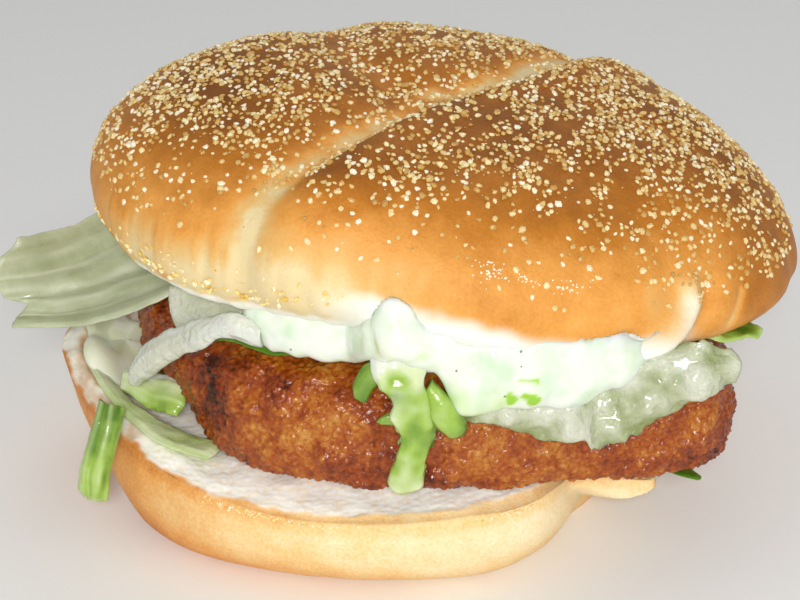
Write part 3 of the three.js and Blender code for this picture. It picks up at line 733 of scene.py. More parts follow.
@dataclass(frozen=True)
class LettuceLeaf:
    """Iceberg lettuce: a wet blade that lets light through, paler along its ribs."""

    name: str
    slot: Slot
    pale: str  # thin or bleached blade
    green: str
    deep: str  # darkest green
    rib: str
    roughness: float
    clearness: float  # how much light goes straight through
    depth: float  # mm, of the fine wrinkles
    wrinkle: float = 1.1  # mm
    patch: float = 3.0  # mm, uneven green
    patchiness: float = 0.5  # how much that varies the green

    @cache
    def material(self) -> bpy.types.Material:
        """Makes the leaf, with ribs and sauce where the mesh has them.

        Returns:
            The material.
        """
        recipe = Recipe(self.name)
        greenness = recipe.varied("green", ((self.patch, 3.0, self.patchiness),))
        shades = ((0.0, self.pale), (0.5, self.green), (1.0, self.deep))
        blade = recipe.add("ValToRGB", {0: greenness}, shades)[0]
        ribs = recipe.add("Attribute", attribute_name="rib")["Fac"]
        ribbed = recipe.add("Mix", {0: ribs, 6: blade, 7: linear(self.rib)}, data_type="RGBA")[2]
        smeared = recipe.add("Attribute", attribute_name="smear")["Fac"]
        sauced = {0: smeared, 6: ribbed, 7: linear(TartarSauce().white)}
        colour = recipe.add("Mix", sauced, data_type="RGBA")[2]
        height = recipe.add("TexNoise", recipe.sized(self.wrinkle, 3.0))["Fac"]
        return recipe.finish(
            height, self.depth, Base_Color=colour, Roughness=self.roughness, IOR=1.38,
            Subsurface_Weight=0.35, Subsurface_Radius=(0.6, 1.0, 0.4), Subsurface_Scale=1.2 * MM,
            Transmission_Weight=self.clearness, Coat_Weight=0.5, Coat_Roughness=0.12,
        )


class LeafKind(Enum):
    """The looks that the torn leaves have."""

    PALE = LettuceLeaf(
        "iceberg_outer", Slot.PALE_LEAF, "#c6caad", "#aab08a", "#868d62", "#d3d6bc",
        roughness=0.42, clearness=0.0, depth=0.14,
    )
    CLEAR = LettuceLeaf(
        "iceberg_wet", Slot.CLEAR_LEAF, "#e0e2cd", "#c4caa4", "#96a264", "#ecede0",
        roughness=0.2, clearness=0.2, depth=0.6,
    )
    FRESH = LettuceLeaf(
        "iceberg_rim", Slot.CLEAR_LEAF, "#e0e8bc", "#c3d390", "#8ca352", "#edf1d8",
        roughness=0.3, clearness=0.1, depth=0.2,
    )
    GREEN = LettuceLeaf(
        "iceberg_green", Slot.GREEN_LEAF, "#dbe6b4", "#a5c552", "#56821c", "#d3e2a0",
        roughness=0.24, clearness=0.1, depth=0.22,
    )


@dataclass(frozen=True)
class Cornmeal:
    """Coarse cornmeal: hard angular grit, from white and cream to yellow, a little translucent."""

    name: str = "cornmeal"
    colours: Stops = (
        (0.0, "#fff6dc"), (0.22, "#f4e2ac"), (0.48, "#e4c681"), (0.76, "#cfa357"), (1.0, "#c2944c"),
    )
    speck: float = 0.5  # mm
    speckling: float = 0.25  # how much the specks vary the tone
    pit: float = 0.3  # mm
    depth: float = 0.05  # mm, of the pits

    @cache
    def material(self) -> bpy.types.Material:
        """Makes the grit, each grain with the tone that its mesh holds.

        Returns:
            The material.
        """
        recipe = Recipe(self.name)
        tone = recipe.varied("tone", ((self.speck, 1.0, self.speckling),))
        colour = recipe.add("ValToRGB", {0: tone}, self.colours)[0]
        height = recipe.add("TexNoise", recipe.sized(self.pit, 1.0))["Fac"]
        return recipe.finish(
            height, self.depth, Base_Color=colour, Roughness=0.4, IOR=1.5,
            Subsurface_Weight=0.25, Subsurface_Radius=(1.0, 0.8, 0.4), Subsurface_Scale=0.5 * MM,
        )


YELLOW_MEAL = ((0.0, "#fff6d4"), (0.4, "#f8e29c"), (0.8, "#edca66"), (1.0, "#dcae48"))


@dataclass(frozen=True)
class OilBeadsAndGlints:
    """Droplets of oil and thin sauce: pale and wet, so that each catches the light; their pale colour also
    paints the glints of the wet crust.
    """

    name: str = "oil_beads_and_glints"
    # Pale, so that the beads also paint the glints of the wet crust.
    colour: str = "#fff1d6"
    ripple: float = 1.0  # mm
    depth: float = 0.01  # mm, of the ripples

    @cache
    def material(self) -> bpy.types.Material:
        """Makes the droplets.

        Returns:
            The material.
        """
        recipe = Recipe(self.name)
        height = recipe.add("TexNoise", recipe.sized(self.ripple, 2.0))["Fac"]
        return recipe.finish(
            height, self.depth, Base_Color=linear(self.colour), Roughness=0.12, IOR=1.47,
            Coat_Weight=0.5, Coat_Roughness=0.06,
        )


# ---- heel


@dataclass
class Heel:
    """The bottom bun: a flat base, a rounded wall and a torn, slightly dished upper face."""

    base_radius: float = 42.4
    side_radius: float = 51.6
    wall_roundness: float = 3.2
    rim_height: float = 16.0
    rim_tuck: float = 1.2
    crumb_rise: float = 1.1
    crumb_relief: float = 0.3
    bed_height: float = 17.4
    slope: float = 10.5
    curl: Place = Place(6.4, 178, 24)
    lip: Place = Place(15.5, -36.5, 6)
    rim_places: tuple[Place, ...] = (Place(7, 176, 34), Place(-1.1, -40, 12), Place(-1.5, -92, 36))
    side_places: tuple[Place, ...] = (Place(1.1, -62, 9.5), Place(-8.5, -30, 17), Place(-1.5, 20, 40))
    foot_places: tuple[Place, ...] = (Place(-2.5, -42, 20), Place(2.7, -66, 14), Place(4.5, -140, 24))
    browning_places: tuple[Place, ...] = (Place(0.3, -150, 42), Place(0.22, 150, 60), Place(0.1, 30, 50))
    fold_places: tuple[Place, ...] = (Place(1.7, -88, 36), Place(1.4, -50, 22))  # crust over the edge
    lip_start: float = 0.78  # share of the way up the wall
    lip_full: float = 0.93
    lip_hang: Place = Place(0.15, -40.7, 3.4)  # where the lip reaches lowest down the wall
    lip_folds: Place = Place(0.5, -38, 12)
    flatter: Place = Place(-1.4, 180, 24)  # where the wall is less round
    sides: int = 640
    wall_rows: int = 80
    crumb_rows: int = 62
    crumb_reach: float = 25.0  # mm of the upper face that are modelled finely
    crust_colours: Stops = (
        (0.0, "#fae9c0"), (0.2, "#f4cd8c"), (0.4, "#eaa658"), (0.62, "#c87a30"), (0.82, "#9c5a1e"),
        (1.0, "#6a370d"),
    )

    def rim_at(self, angle: Array) -> Array:
        """Height of the crust's edge."""
        return self.rim_height + unevenness(angle, self.rim_places)

    def plain_radius(self, angle: Array) -> Array:
        """Radius of the wall without its curled end and its lip."""
        return self.side_radius + unevenness(angle, self.side_places)

    def rim_radius(self, angle: Array) -> Array:
        """Radius of the crust's edge."""
        return self.plain_radius(angle) + unevenness(angle, (self.curl, self.lip)) - self.rim_tuck

    def top_at(self, x: Array, y: Array) -> Array:
        """Height of the torn upper face: the bed, rising near the edge to the crust and a little more.

        Args:
            x: Places across, in mm.
            y: Places from front to back.

        Returns:
            The height at each place.
        """
        angle = np.arctan2(y, x)
        inward = self.rim_radius(angle) - np.hypot(x, y)
        rise = self.rim_at(angle) + self.crumb_rise - self.bed_height
        plan = xyz(x, y, 0)
        torn = self.crumb_relief * relief(plan, 6, 3) * smooth(9, 5, inward) * smooth(0, 1.5, inward)
        return self.bed_height + rise * smooth(self.slope, 2, inward) + torn

    def wall(self, angle: Array, t: Array) -> Array:
        """Points on the wall: it bulges from the foot to its widest and is tucked in at the crust's edge.

        Args:
            angle: Angles round the wall.
            t: Share of the way from the base to the crust's edge.

        Returns:
            The points.
        """
        curl = unevenness(angle, (self.curl,)) * t**2
        hang = unevenness(angle, (self.lip_hang,))
        lip = unevenness(angle, (self.lip,)) * smooth(self.lip_start - hang, self.lip_full - hang, t)
        foot = self.base_radius + unevenness(angle, self.foot_places)
        roundness = self.wall_roundness + unevenness(angle, (self.flatter,))
        bulge = 1 - (1 - t) ** roundness
        radius = blend(foot, self.plain_radius(angle), bulge) + curl + lip - self.rim_tuck * t**6
        height = self.rim_at(angle) * t**1.15
        return xyz(radius * np.cos(angle), radius * np.sin(angle), height)

    def crumb(self, angle: Array, inset: Array) -> Array:
        """Points on the torn upper face, at an inset from the crust's edge.

        Args:
            angle: Angles round the heel.
            inset: Distances in from the edge.

        Returns:
            The points.
        """
        radius = self.rim_radius(angle) - inset
        x = radius * np.cos(angle)
        y = radius * np.sin(angle)
        edge = self.crumb_rise * (1 - smooth(-0.5, 3.5, inset))
        return xyz(x, y, self.top_at(x, y) - edge)

    def build(self) -> Pieces:
        """Makes the heel: crust up to an uneven torn edge, and open crumb inside it.

        Returns:
            The heel alone.
        """
        angle = 2 * math.pi * np.arange(self.sides)[None, :] / self.sides
        t = (np.arange(self.wall_rows) / self.wall_rows)[:, None]
        inset = self.crumb_reach * ((np.arange(self.crumb_rows) + 0.5) / self.crumb_rows)[:, None] ** 1.4
        rows = np.concatenate([self.wall(angle, t), self.crumb(angle, inset)])
        past_edge = np.concatenate([(t - 1) * self.rim_at(angle), inset + 0 * angle])

        frayed = past_edge + 1.3 * layered(rows, 4.5, 21) - unevenness(angle, self.fold_places) - 0.2
        torn = smooth(-0.5, 0.35, frayed)
        open_cells = 0.32 * noise(rows, 3.0, 22) + 0.16 * (pebbles(rows, 1.2, 23) - 0.6)
        soft = 0.35 * noise(rows, 12, 24) + 0.1 * noise(rows, 4, 25)
        soft = soft + unevenness(angle, (self.lip_folds,)) * noise(rows, 4.5, 29)
        grounded = smooth(0.0, 2.5, rows[..., 2])
        thin_edge = 0.2 * np.exp(-((frayed / 0.6) ** 2))
        height = grounded * (blend(soft, open_cells * smooth(16, 10, past_edge), torn) + thin_edge)
        points = raised(rows, height)
        points[..., 2] = np.maximum(points[..., 2], 0.0)

        low = np.zeros(3)
        high = np.array([0, 0, self.bed_height])
        solid = capped(points, low, high, 6)
        values = {
            "browning": self.browning(points, angle, past_edge),
            "torn": torn,
            "toast": self.toast(points, past_edge),
            "smear": np.zeros_like(torn),
        }
        flat = {key: stretched(value, len(solid)) for key, value in values.items()}
        mesh = make_mesh("heel_bun", *closed_solid(solid, low, high), flat)
        crust = BakedCrust(name="heel_crust", colours=self.crust_colours, freckles=0.28)
        return [make_piece(mesh, crust.material(), ["heel"])]

    def browning(self, points: Array, angle: Array, past_edge: Array) -> Array:
        """How brown the crust is: most at the bottom edge, the left and the back, cream in the front.

        Args:
            points: Points of the heel.
            angle: Their angles.
            past_edge: How far they lie past the crust's edge.

        Returns:
            The browning, from 0 to 1.
        """
        z = points[..., 2]
        low = 0.17 * smooth(9, 1.0, z + 3 * noise(points, 14, 26))
        patches = 0.1 * layered(points, 9, 27) + 0.12 * smooth(-2.6, -0.6, past_edge)
        return 0.05 + low + unevenness(angle, self.browning_places) + patches

    def toast(self, points: Array, past_edge: Array) -> Array:
        """Toasted tan streaks on the torn crumb, most on the curled left end.

        Args:
            points: Points of the heel.
            past_edge: How far they lie past the crust's edge.

        Returns:
            The toasting, from 0 to 1.
        """
        left = smooth(-34, -46, points[..., 0])
        streaks = smooth(0.2 - 0.45 * left, 0.6 - 0.2 * left, layered(points * (1, 0.5, 1), 4, 28))
        return (0.1 + 0.75 * left) * streaks * smooth(11, 5, past_edge)


# ---- crown


@dataclass(frozen=True)
class Crease:
    """A crease that runs out from the hub while its heading turns from one angle to another."""

    start: float  # degrees
    end: float
    turn_length: float
    depth: float
    ridge: float
    left: float  # width on its counterclockwise side
    right: float
    fade_in: float
    pale: float  # how much less it browned

    def shape(self, reach: Array, angle: Array) -> tuple[Array, Array]:
        """The crease's trough and the roll of the lobe beside it, each from 0 to 1.

        Args:
            reach: Distance from the hub.
            angle: Angle from the hub.

        Returns:
            Trough and roll.
        """
        heading = np.radians(blend(self.end, self.start, np.exp(-reach / self.turn_length)))
        turn = wrapped(angle - heading)
        aside = turn * reach
        width = np.where(aside > 0, self.left, self.right)
        narrow = min(self.left, self.right)
        lobe = aside * np.sign(self.right - self.left)
        fade = smooth(0.3 * self.fade_in, 1.6 * self.fade_in, reach) * np.cos(turn / 2) ** 4
        roll = np.exp(-(((lobe - 2.4 * narrow) / (1.6 * narrow)) ** 2))
        return fade * np.exp(-((aside / width) ** 2)), fade * roll


@dataclass
class Crown:
    """The top bun: a domed roll with deep creases that meet in front of its middle."""

    x: float = 12.2
    y: float = 3.0
    z: float = 50.0
    half_width: float = 62.0
    half_depth: float = 54.0
    height: float = 24.7
    flat_top: float = 2.4  # the dome's exponents
    full_side: float = 1.9
    fall: float = 0.105
    droop: float = 2.6
    cut_z: float = 42.3
    cut_fall: float = 0.065
    cut_share: float = 0.86
    hub_x: float = -3.0
    hub_y: float = -9.0
    hub_sink: float = 3.6
    hub_radius: float = 8.0
    lift_places: tuple[Place, ...] = (Place(3.6, -108, 20), Place(-1.2, -62, 20))
    creases: tuple[Crease, ...] = (  # each with Crease's sizes in order, from start to pale
        Crease(-110, -130, 13.5, 3.2, 0.8, 3.4, 9, 6, 0.36),
        Crease(-7, 54, 17, 3, 1.3, 7.5, 3, 6, 0.5),
        Crease(170, 107, 22, 2.0, 0.4, 8, 6, 5, 0.12),
        Crease(20, -6, 18, 0.9, 0.2, 4, 5, 24, 0.1),
        Crease(-60, -34, 30, 1.6, 0.3, 5, 3, 40, 0.1),
    )
    wrinkles: tuple[Line, ...] = (
        Line(((50.3, -37, 51), (50.4, -38, 47.5), (47.8, -40.4, 44.6), (42, -43.3, 42.6)), 1.8, 1.7),
        Line(((46.5, -40.5, 49.5), (44.5, -42, 47), (39, -44.7, 45)), 2.2, -0.7),
        Line(((54.4, -34.7, 50), (53.8, -35.7, 46.5), (51.5, -38, 42.5)), 1.8, -1.3),
        Line(((60.3, -29.5, 48), (59.3, -31.5, 45), (57.8, -33, 42.5)), 1.1, -0.5),
        Line(((63.5, -20, 56), (62.5, -21.5, 52), (61, -25, 48.5)), 1.1, -0.35),
        Line(((66, -18, 51), (64.5, -22, 48), (62, -26, 46)), 1.1, -0.3),
        Line(((-36, -27, 61), (-32, -31, 62), (-27, -34.5, 62)), 0.8, -0.25),
        Line(((30, -44, 59), (22, -45.5, 60), (15, -46.5, 59.5)), 2.2, -0.25),
    )
    browning_spots: tuple[Spot, ...] = (
        Spot(-11, -48, 51, 10, -0.34), Spot(-20, -43, 50, 7, -0.26), Spot(-32, -36, 50, 7, -0.14),
        Spot(-44, -25, 50, 7, -0.06), Spot(2, -50, 50, 8, -0.16), Spot(30, -46, 50, 14, 0.03),
        Spot(60, -28, 45, 6, 0.16), Spot(68, -12, 47, 14, 0.3), Spot(-38, -22, 56, 9, 0.08),
        Spot(55, -8, 64, 16, 0.12), Spot(-30, -5, 68, 20, 0.14), Spot(26, -22, 72, 14, 0.12),
        Spot(-7, -34, 69, 7, 0.14), Spot(4, -36, 69, 6, 0.1),
    )
    pale_lines: tuple[Line, ...] = (  # dough laid bare where the right end is folded
        Line(((50, -37.4, 49.8), (51, -37.6, 47.5), (50.6, -38.6, 44), (49.5, -39.6, 41.5)), 1.6, 0.7),
        Line(((49.2, -39.2, 46.6), (46.6, -41.4, 43.8), (43, -43, 42.4), (38, -45, 41.6)), 1.7, 0.6),
        Line(((59.9, -30, 47), (58.9, -32, 44.2), (57.6, -33, 42.4)), 0.9, 0.3),
        Line(((10, -5, 71), (16, -2.3, 70.5), (23.2, 6.9, 70.5), (28, 14.3, 70), (33, 23, 68)), 3.2, 0.5),
        Line(((10, -5, 71), (2, -15, 71), (-10.2, -28.2, 68.6), (-18, -38, 62.6)), 3.0, 0.26),
    )
    wiped_fold: tuple[Line, ...] = (  # sauce left in the fold
        Line(((50.2, -38, 48.5), (49.2, -39.4, 45.6), (46.6, -41.4, 43.2), (42, -43.4, 41.4)), 1.6, 0.8),
    )
    sides: int = 520
    top_rows: int = 152
    under_rows: int = 24

    def share_at(self, x: Array, y: Array) -> Array:
        """Share of the way from the crown's centre to its outline."""
        return np.hypot((x - self.x) / self.half_width, (y - self.y) / self.half_depth)

    def angle_at(self, x: Array, y: Array) -> Array:
        """Angle round the crown's centre, measured as if its outline were a circle."""
        return np.arctan2((y - self.y) / self.half_depth, (x - self.x) / self.half_width)

    def lift_at(self, x: Array, y: Array) -> Array:
        """How far the rim is pushed up or hangs down, fading towards the middle.

        Args:
            x: Places across, in mm.
            y: Places from front to back.

        Returns:
            The lift in mm.
        """
        droop = self.droop * smooth(28, 60, x - self.x)
        lift = unevenness(self.angle_at(x, y), self.lift_places) - droop
        return lift * smooth(0.55, 1, self.share_at(x, y))

    def rim_z(self, x: Array, y: Array) -> Array:
        """Height of the widest plane, which leans down to the right."""
        return self.z - self.fall * (x - self.x) + self.lift_at(x, y)

    def cut_face_z(self, x: Array, y: Array) -> Array:
        """Height of the flat cut face."""
        return self.cut_z - self.cut_fall * (x - self.x) + self.lift_at(x, y)

    def under_z(self, x: Array, y: Array) -> Array:
        """Height of the underside: a quarter round from the rim in to the cut face.

        Args:
            x: Places across, in mm.
            y: Places from front to back.

        Returns:
            The height in mm.
        """
        share = np.clip(self.share_at(x, y), self.cut_share, 1)
        sink = np.sqrt(1 - ((share - self.cut_share) / (1 - self.cut_share)) ** 2)
        return blend(self.rim_z(x, y), self.cut_face_z(x, y), sink)

    def crease_at(self, x: Array, y: Array) -> tuple[Array, Array]:
        """Depth of the hub and the creases, and how pale the dough stayed in them.

        Args:
            x: Places across, in mm.
            y: Places from front to back.

        Returns:
            Depth in mm, and paleness from 0 up.
        """
        dx = x - self.x - self.hub_x
        dy = y - self.y - self.hub_y
        reach = np.hypot(dx, dy)
        angle = np.arctan2(dy, dx)
        hub = np.exp(-((reach / self.hub_radius) ** 2))
        depth = self.hub_sink * hub
        pale = 0 * hub
        for crease in self.creases:
            trough, roll = crease.shape(reach, angle)
            shallower = 1 - 0.35 * smooth(24, 42, reach)
            depth = depth + shallower * crease.depth * trough - crease.ridge * roll
            pale = pale + crease.pale * (0.75 * trough**5 + 0.3 * trough)
        return depth, pale

    def top(self, angle: Array, share: Array) -> Array:
        """Points on the upper side, along a straight line from the hub to the outline.

        The dome is height * (1 - out^flat_top)^(1/full_side). A crease sinks it, and near the rim cuts
        inward.

        Args:
            angle: Where on the outline each line ends.
            share: Share of the way to it.

        Returns:
            The points.
        """
        x = blend(self.x + self.hub_x, self.x + self.half_width * np.cos(angle), share)
        y = blend(self.y + self.hub_y, self.y + self.half_depth * np.sin(angle), share)
        out = np.minimum(self.share_at(x, y), 1)
        dome = self.height * (1 - out**self.flat_top) ** (1 / self.full_side)
        crease, _ = self.crease_at(x, y)
        rimward = smooth(0.8, 1, out)
        pull = 0.7 * crease * rimward / np.maximum(np.hypot(x - self.x, y - self.y), 1.0)
        z = self.rim_z(x, y) + dome - crease * (1 - rimward)
        return xyz(x - (x - self.x) * pull, y - (y - self.y) * pull, z)

    def under(self, angle: Array, turn: Array) -> Array:
        """Points under the rim, from the outline at 0 to the edge of the cut face at 1.

        Args:
            angle: As for top.
            turn: Share of the way in.

        Returns:
            The points.
        """
        rim = self.top(angle, np.ones_like(angle))
        share = self.cut_share + (1 - self.cut_share) * np.cos(turn * math.pi / 2)
        x = self.x + (rim[..., 0] - self.x) * share
        y = self.y + (rim[..., 1] - self.y) * share
        z = blend(self.rim_z(x, y), self.cut_face_z(x, y), np.sin(turn * math.pi / 2))
        return xyz(x, y, z)

    def fibres(self, points: Array, above: Array) -> Array:
        """Fine folds that run down the pale, stretched dough low at the left of the front.

        They are noise over the angle round the crown and, much stretched, the height.

        Args:
            points: Points of the crown.
            above: Their height above the widest plane.

        Returns:
            The folds' height from about -1 to 1, and 0 elsewhere.
        """
        x, y = points[..., 0], points[..., 1]
        along = xyz(self.half_width * self.angle_at(x, y), 0.16 * points[..., 2], 0)
        zone = smooth(9, 1, above) * smooth(8, -4, x) * smooth(-12, -26, y)
        return zone * layered(along, 2.2, 40)

    def bumps(self, points: Array) -> Array:
        """Height of the crust's soft dimples and wrinkles above its plain form."""
        soft = 0.4 * noise(points, 15, 31) + 0.16 * noise(points, 6, 32) + 0.05 * noise(points, 2.2, 33)
        return soft + lined(points, self.wrinkles)

    def skin(self, angle: Array, share: Array) -> tuple[Array, Array]:
        """Points of the finished upper crust and its normals, for what lies on it.

        Args:
            angle: As for top.
            share: As for top.

        Returns:
            Points and unit normals.
        """
        point = self.top(angle, share)
        inward = self.top(angle, share - NUDGE) - point
        aside = self.top(angle + NUDGE, share) - point
        normal = unit(np.cross(aside, inward))
        normal *= np.sign(normal[..., 2:3])
        return point + normal * self.bumps(point)[..., None], normal

    def top_skin(self, angle: Array, share: Array) -> Array:
        """Points of the finished upper crust alone."""
        return self.skin(angle, share)[0]

    def lower_rim(self, angle: Array, share: Array) -> Array:
        """Points under the rim, from the cut face's edge at 0 to the outline at 1."""
        return self.under(angle, 1 - share)

    def build(self) -> Pieces:
        """Makes the crown, from the middle of its cut face out, up and over to the hub.

        Returns:
            The crown alone.
        """
        angle = 2 * math.pi * np.arange(self.sides)[None, :] / self.sides
        turn = np.linspace(1, 0, self.under_rows, endpoint=False)[:, None]
        share = 1 - np.linspace(0, 1, self.top_rows, endpoint=False)[:, None] ** 1.7
        rows = np.concatenate([self.under(angle, turn), self.top(angle, share)])
        above = rows[..., 2] - self.rim_z(rows[..., 0], rows[..., 1])
        smear = self.smear(rows, above)
        fibres = self.fibres(rows, above)
        wiped = smear**2 * (0.45 + 0.3 * noise(rows, 3.5, 38))
        points = raised(rows, self.bumps(rows) + 0.45 * fibres + wiped)

        low = np.array([self.x, self.y, self.cut_z])
        high = self.top(np.zeros(1), np.zeros(1))[0]
        solid = np.concatenate([low + (points[:1] - low) * s for s in (0.25, 0.5, 0.75)] + [points])
        values = {
            "browning": self.browning(points, above) + 0.2 * fibres,
            "torn": self.torn(points, above),
            "smear": smear,
            "toast": np.zeros_like(above),
        }
        flat = {
            key: np.concatenate([value[:1].repeat(3, 0).ravel(), value.ravel(), value[0, :1], value[-1, :1]])
            for key, value in values.items()
        }
        mesh = make_mesh("crown_bun", *closed_solid(solid, low, high), flat)
        return [make_piece(mesh, BakedCrust(name="crown_crust").material(), ["crown"])]

    def browning(self, points: Array, above: Array) -> Array:
        """How brown the crust is: brown on top, golden lower down, and pale in the creases. The brown top is
        partly real browning and partly painted shade where the light grazes it.

        Args:
            points: Points of the crown.
            above: Their height above the widest plane.

        Returns:
            The browning, from 0 to 1.
        """
        _, pale = self.crease_at(points[..., 0], points[..., 1])
        # Browner towards the top: real browning, and painted shade where the light grazes the dome.
        upward = 0.34 * smooth(0.2, 0.85, above / self.height)
        low = -0.32 * smooth(6, -4, above) * smooth(8, -14, points[..., 0]) * smooth(-12, -26, points[..., 1])
        patches = 0.1 * layered(points, 13, 34) + 0.05 * layered(points, 4, 35)
        mottled = 0.85 + 0.5 * layered(points, 2.4, 39)
        bare = (pale * smooth(-6, 6, above) + lined(points, self.pale_lines)) * mottled
        broken = smooth(-0.3, 0.5, noise(points, 3.5, 43)) * smooth(2, -6, points[..., 0])
        edge = 0.3 * np.exp(-(((above + 5.4) / 0.8) ** 2)) * broken
        return 0.4 + upward + low + patches + edge + spotted(points, self.browning_spots) - bare

    def torn(self, points: Array, above: Array) -> Array:
        """The cut face underneath is open white crumb."""
        return smooth(-6.0, -7.2, above + 0.8 * noise(points, 4, 36))

    def smear(self, points: Array, above: Array) -> Array:
        """Sauce wiped on the lower edge of the front and on the fold, fading upward unevenly.

        Args:
            points: Points of the crown.
            above: Their height above the widest plane.

        Returns:
            How much sauce covers the crust, from 0 to 1.
        """
        x, y = points[..., 0], points[..., 1]
        ragged = above + 1.5 * layered(points, 6, 37) + 0.5 * smooth(14, 34, x)
        along = smooth(-12, 0, x) * smooth(54, 46, x)
        edge = 0.97 * smooth(1.2, -2.0, ragged) * along * smooth(-30, -38, y)
        return np.maximum(edge, 0.75 * lined(points, self.wiped_fold))


# ---- cornmeal


@dataclass
class Dusting:
    """The cornmeal on the crown: chips of grit in drifts on its back and top, and fine meal between."""

    crown: Crown
    seed: int = 5
    chips: int = 26000  # a third of the places tried for them
    spacing: float = 0.92
    chip_radius: tuple[float, float] = (0.42, 0.76)
    meal: int = 3600  # a third of the places tried for it
    meal_radius: tuple[float, float] = (0.12, 0.26)
    largest: int = 92  # places for the largest chips, on a golden-angle spiral
    largest_reach: float = 0.96
    largest_radius: float = 0.85
    sunk: float = 0.2  # share of a chip's size under the crust
    meal_sunk: float = 0.1
    drift: Line = Line(((30, 6, 0), (46, -3, 0), (64, -14, 0)), 5.0, 0.6)
    drift_spots: tuple[Spot, ...] = (
        Spot(-7, -37, 67, 9, 0.32), Spot(9, -36, 69, 9, 0.3), Spot(22, -22, 72, 14, 0.5),
        Spot(38, -26, 66, 12, 0.45), Spot(54, -14, 63, 12, 0.3), Spot(-22, -8, 73, 14, 0.7),
        Spot(-38, -14, 66, 9, 0.2), Spot(-44, -6, 57, 12, -0.35), Spot(66, -12, 52, 14, -0.45),
    )

    def backward(self, x: Array, y: Array) -> Array:
        """How far places lie behind the crown's middle, in mm, and a little more at its right."""
        return y - self.crown.y + 0.12 * (x - self.crown.x)

    def density(self, points: Array) -> Array:
        """How thickly the meal lies, from 0 to 1: thick on the back and top, thin low at the front.

        Args:
            points: Points on the crown.

        Returns:
            The density at each point.
        """
        x, y = points[..., 0], points[..., 1]
        back = self.backward(x, y)
        thick = 0.02 + 0.2 * smooth(-45, -34, back) + 0.5 * smooth(-34, -8, back)
        drifts = 0.8 + 0.7 * layered(points, 11, 41) + lined(points * (1, 1, 0), (self.drift,))
        _, pale = self.crown.crease_at(x, y)
        clumps = smooth(-0.75, 0.35, noise(points, 2.6, 42))
        thick = thick + spotted(points, self.drift_spots)
        return np.maximum(thick, 0) * drifts * clumps * (1 - np.minimum(1.2 * pale, 0.6))

    def scatter(self, count: int, draw: np.random.Generator) -> tuple[Array, Array]:
        """Random places on the upper crust, kept as often as the density says.

        Args:
            count: A third of the places tried.
            draw: The random draw.

        Returns:
            The places kept and the crust's normals there.
        """
        angle = draw.uniform(0, 2 * math.pi, 3 * count)
        share = LAST_GRAIN * np.sqrt(draw.uniform(0.0, 1.0, 3 * count))
        points, normals = self.crown.skin(angle, share)
        steep = np.clip(1 / np.maximum(normals[:, 2], 0.3), 1, 3)
        kept = draw.uniform(0, 3, 3 * count) < steep * self.density(points)
        return points[kept], normals[kept]

    def largest_places(self) -> tuple[Array, Array]:
        """Where the largest chips lie: on a golden-angle spiral, where the meal is thick enough.

        Returns:
            The places and the crust's normals there.
        """
        number = np.arange(1, self.largest)
        angle = number * GOLDEN_ANGLE
        share = self.largest_reach * np.sqrt(number / self.largest)
        points, normals = self.crown.skin(angle, share)
        plain = self.crown.top(angle, share)
        back = self.backward(plain[:, 0], plain[:, 1])
        kept = drawn(number) <= 0.12 + 0.88 * smooth(-34, -12, back)
        return points[kept], normals[kept]

    def build(self) -> Pieces:
        """Makes the chips and the fine meal.

        Returns:
            One piece for each.
        """
        draw = np.random.default_rng(self.seed)
        points, normals = self.scatter(self.chips, draw)
        for shift in (0.0, 0.5):
            apart = spaced(points + shift * self.spacing, self.spacing)
            points, normals = points[apart], normals[apart]
        big_points, big_normals = self.largest_places()
        small, large = self.chip_radius
        radii = small + (large - small) * draw.uniform(0, 1, len(points)) ** 1.6
        radii = np.concatenate([radii, self.largest_radius * draw.uniform(0.75, 1.05, len(big_points))])
        places = np.concatenate([points, big_points])
        ups = np.concatenate([normals, big_normals])
        chips = grit("cornmeal_chips", places, ups, radii, self.sunk, draw, 1)

        points, normals = self.scatter(self.meal, draw)
        radii = draw.uniform(*self.meal_radius, len(points))
        fine = grit("cornmeal_fine", points, normals, radii, self.meal_sunk, draw, 0)
        material = Cornmeal().material()
        LOG.info("%d chips of cornmeal and %d fine grains", len(places), len(points))
        return [
            make_piece(chips, material, faceted=True),
            make_piece(fine, material, faceted=True),
        ]


def spaced(points: Array, size: float) -> Array:
    """Numbers of the first point in each lattice cell of a size, which spreads out a scatter."""
    _, first = np.unique(np.floor(points / size).astype(int), axis=0, return_index=True)
    return np.sort(first)


def chip_shape(level: int) -> tuple[Array, Array]:
    """The plain shape of one grain: an octahedron at level 0, an icosahedron at level 1.

    Args:
        level: How finely it is cut.

    Returns:
        Its points, a unit from its middle, and its triangles.
    """
    if level == 0:
        points = np.array([(1, 0, 0), (0, 1, 0), (-1, 0, 0), (0, -1, 0), (0, 0, 1), (0, 0, -1)], float)
        round_middle = [(k, (k + 1) % 4) for k in range(4)]
        faces = [(a, b, 4) for a, b in round_middle] + [(b, a, 5) for a, b in round_middle]
        return points, np.array(faces)
    ring = np.arange(5) * 2 * math.pi / 5
    level_z = 1 / math.sqrt(5)
    upper = xyz(np.cos(ring), np.sin(ring), 0.5) * 2 * level_z
    lower = xyz(np.cos(ring + math.pi / 5), np.sin(ring + math.pi / 5), -0.5)
    points = np.concatenate([upper, lower * 2 * level_z, [(0, 0, 1), (0, 0, -1)]])
    faces = []
    for k in range(5):
        after = (k + 1) % 5
        faces += [(10, k, after), (k, 5 + k, after), (after, 5 + k, 5 + after), (11, 5 + after, 5 + k)]
    return points, np.array(faces)


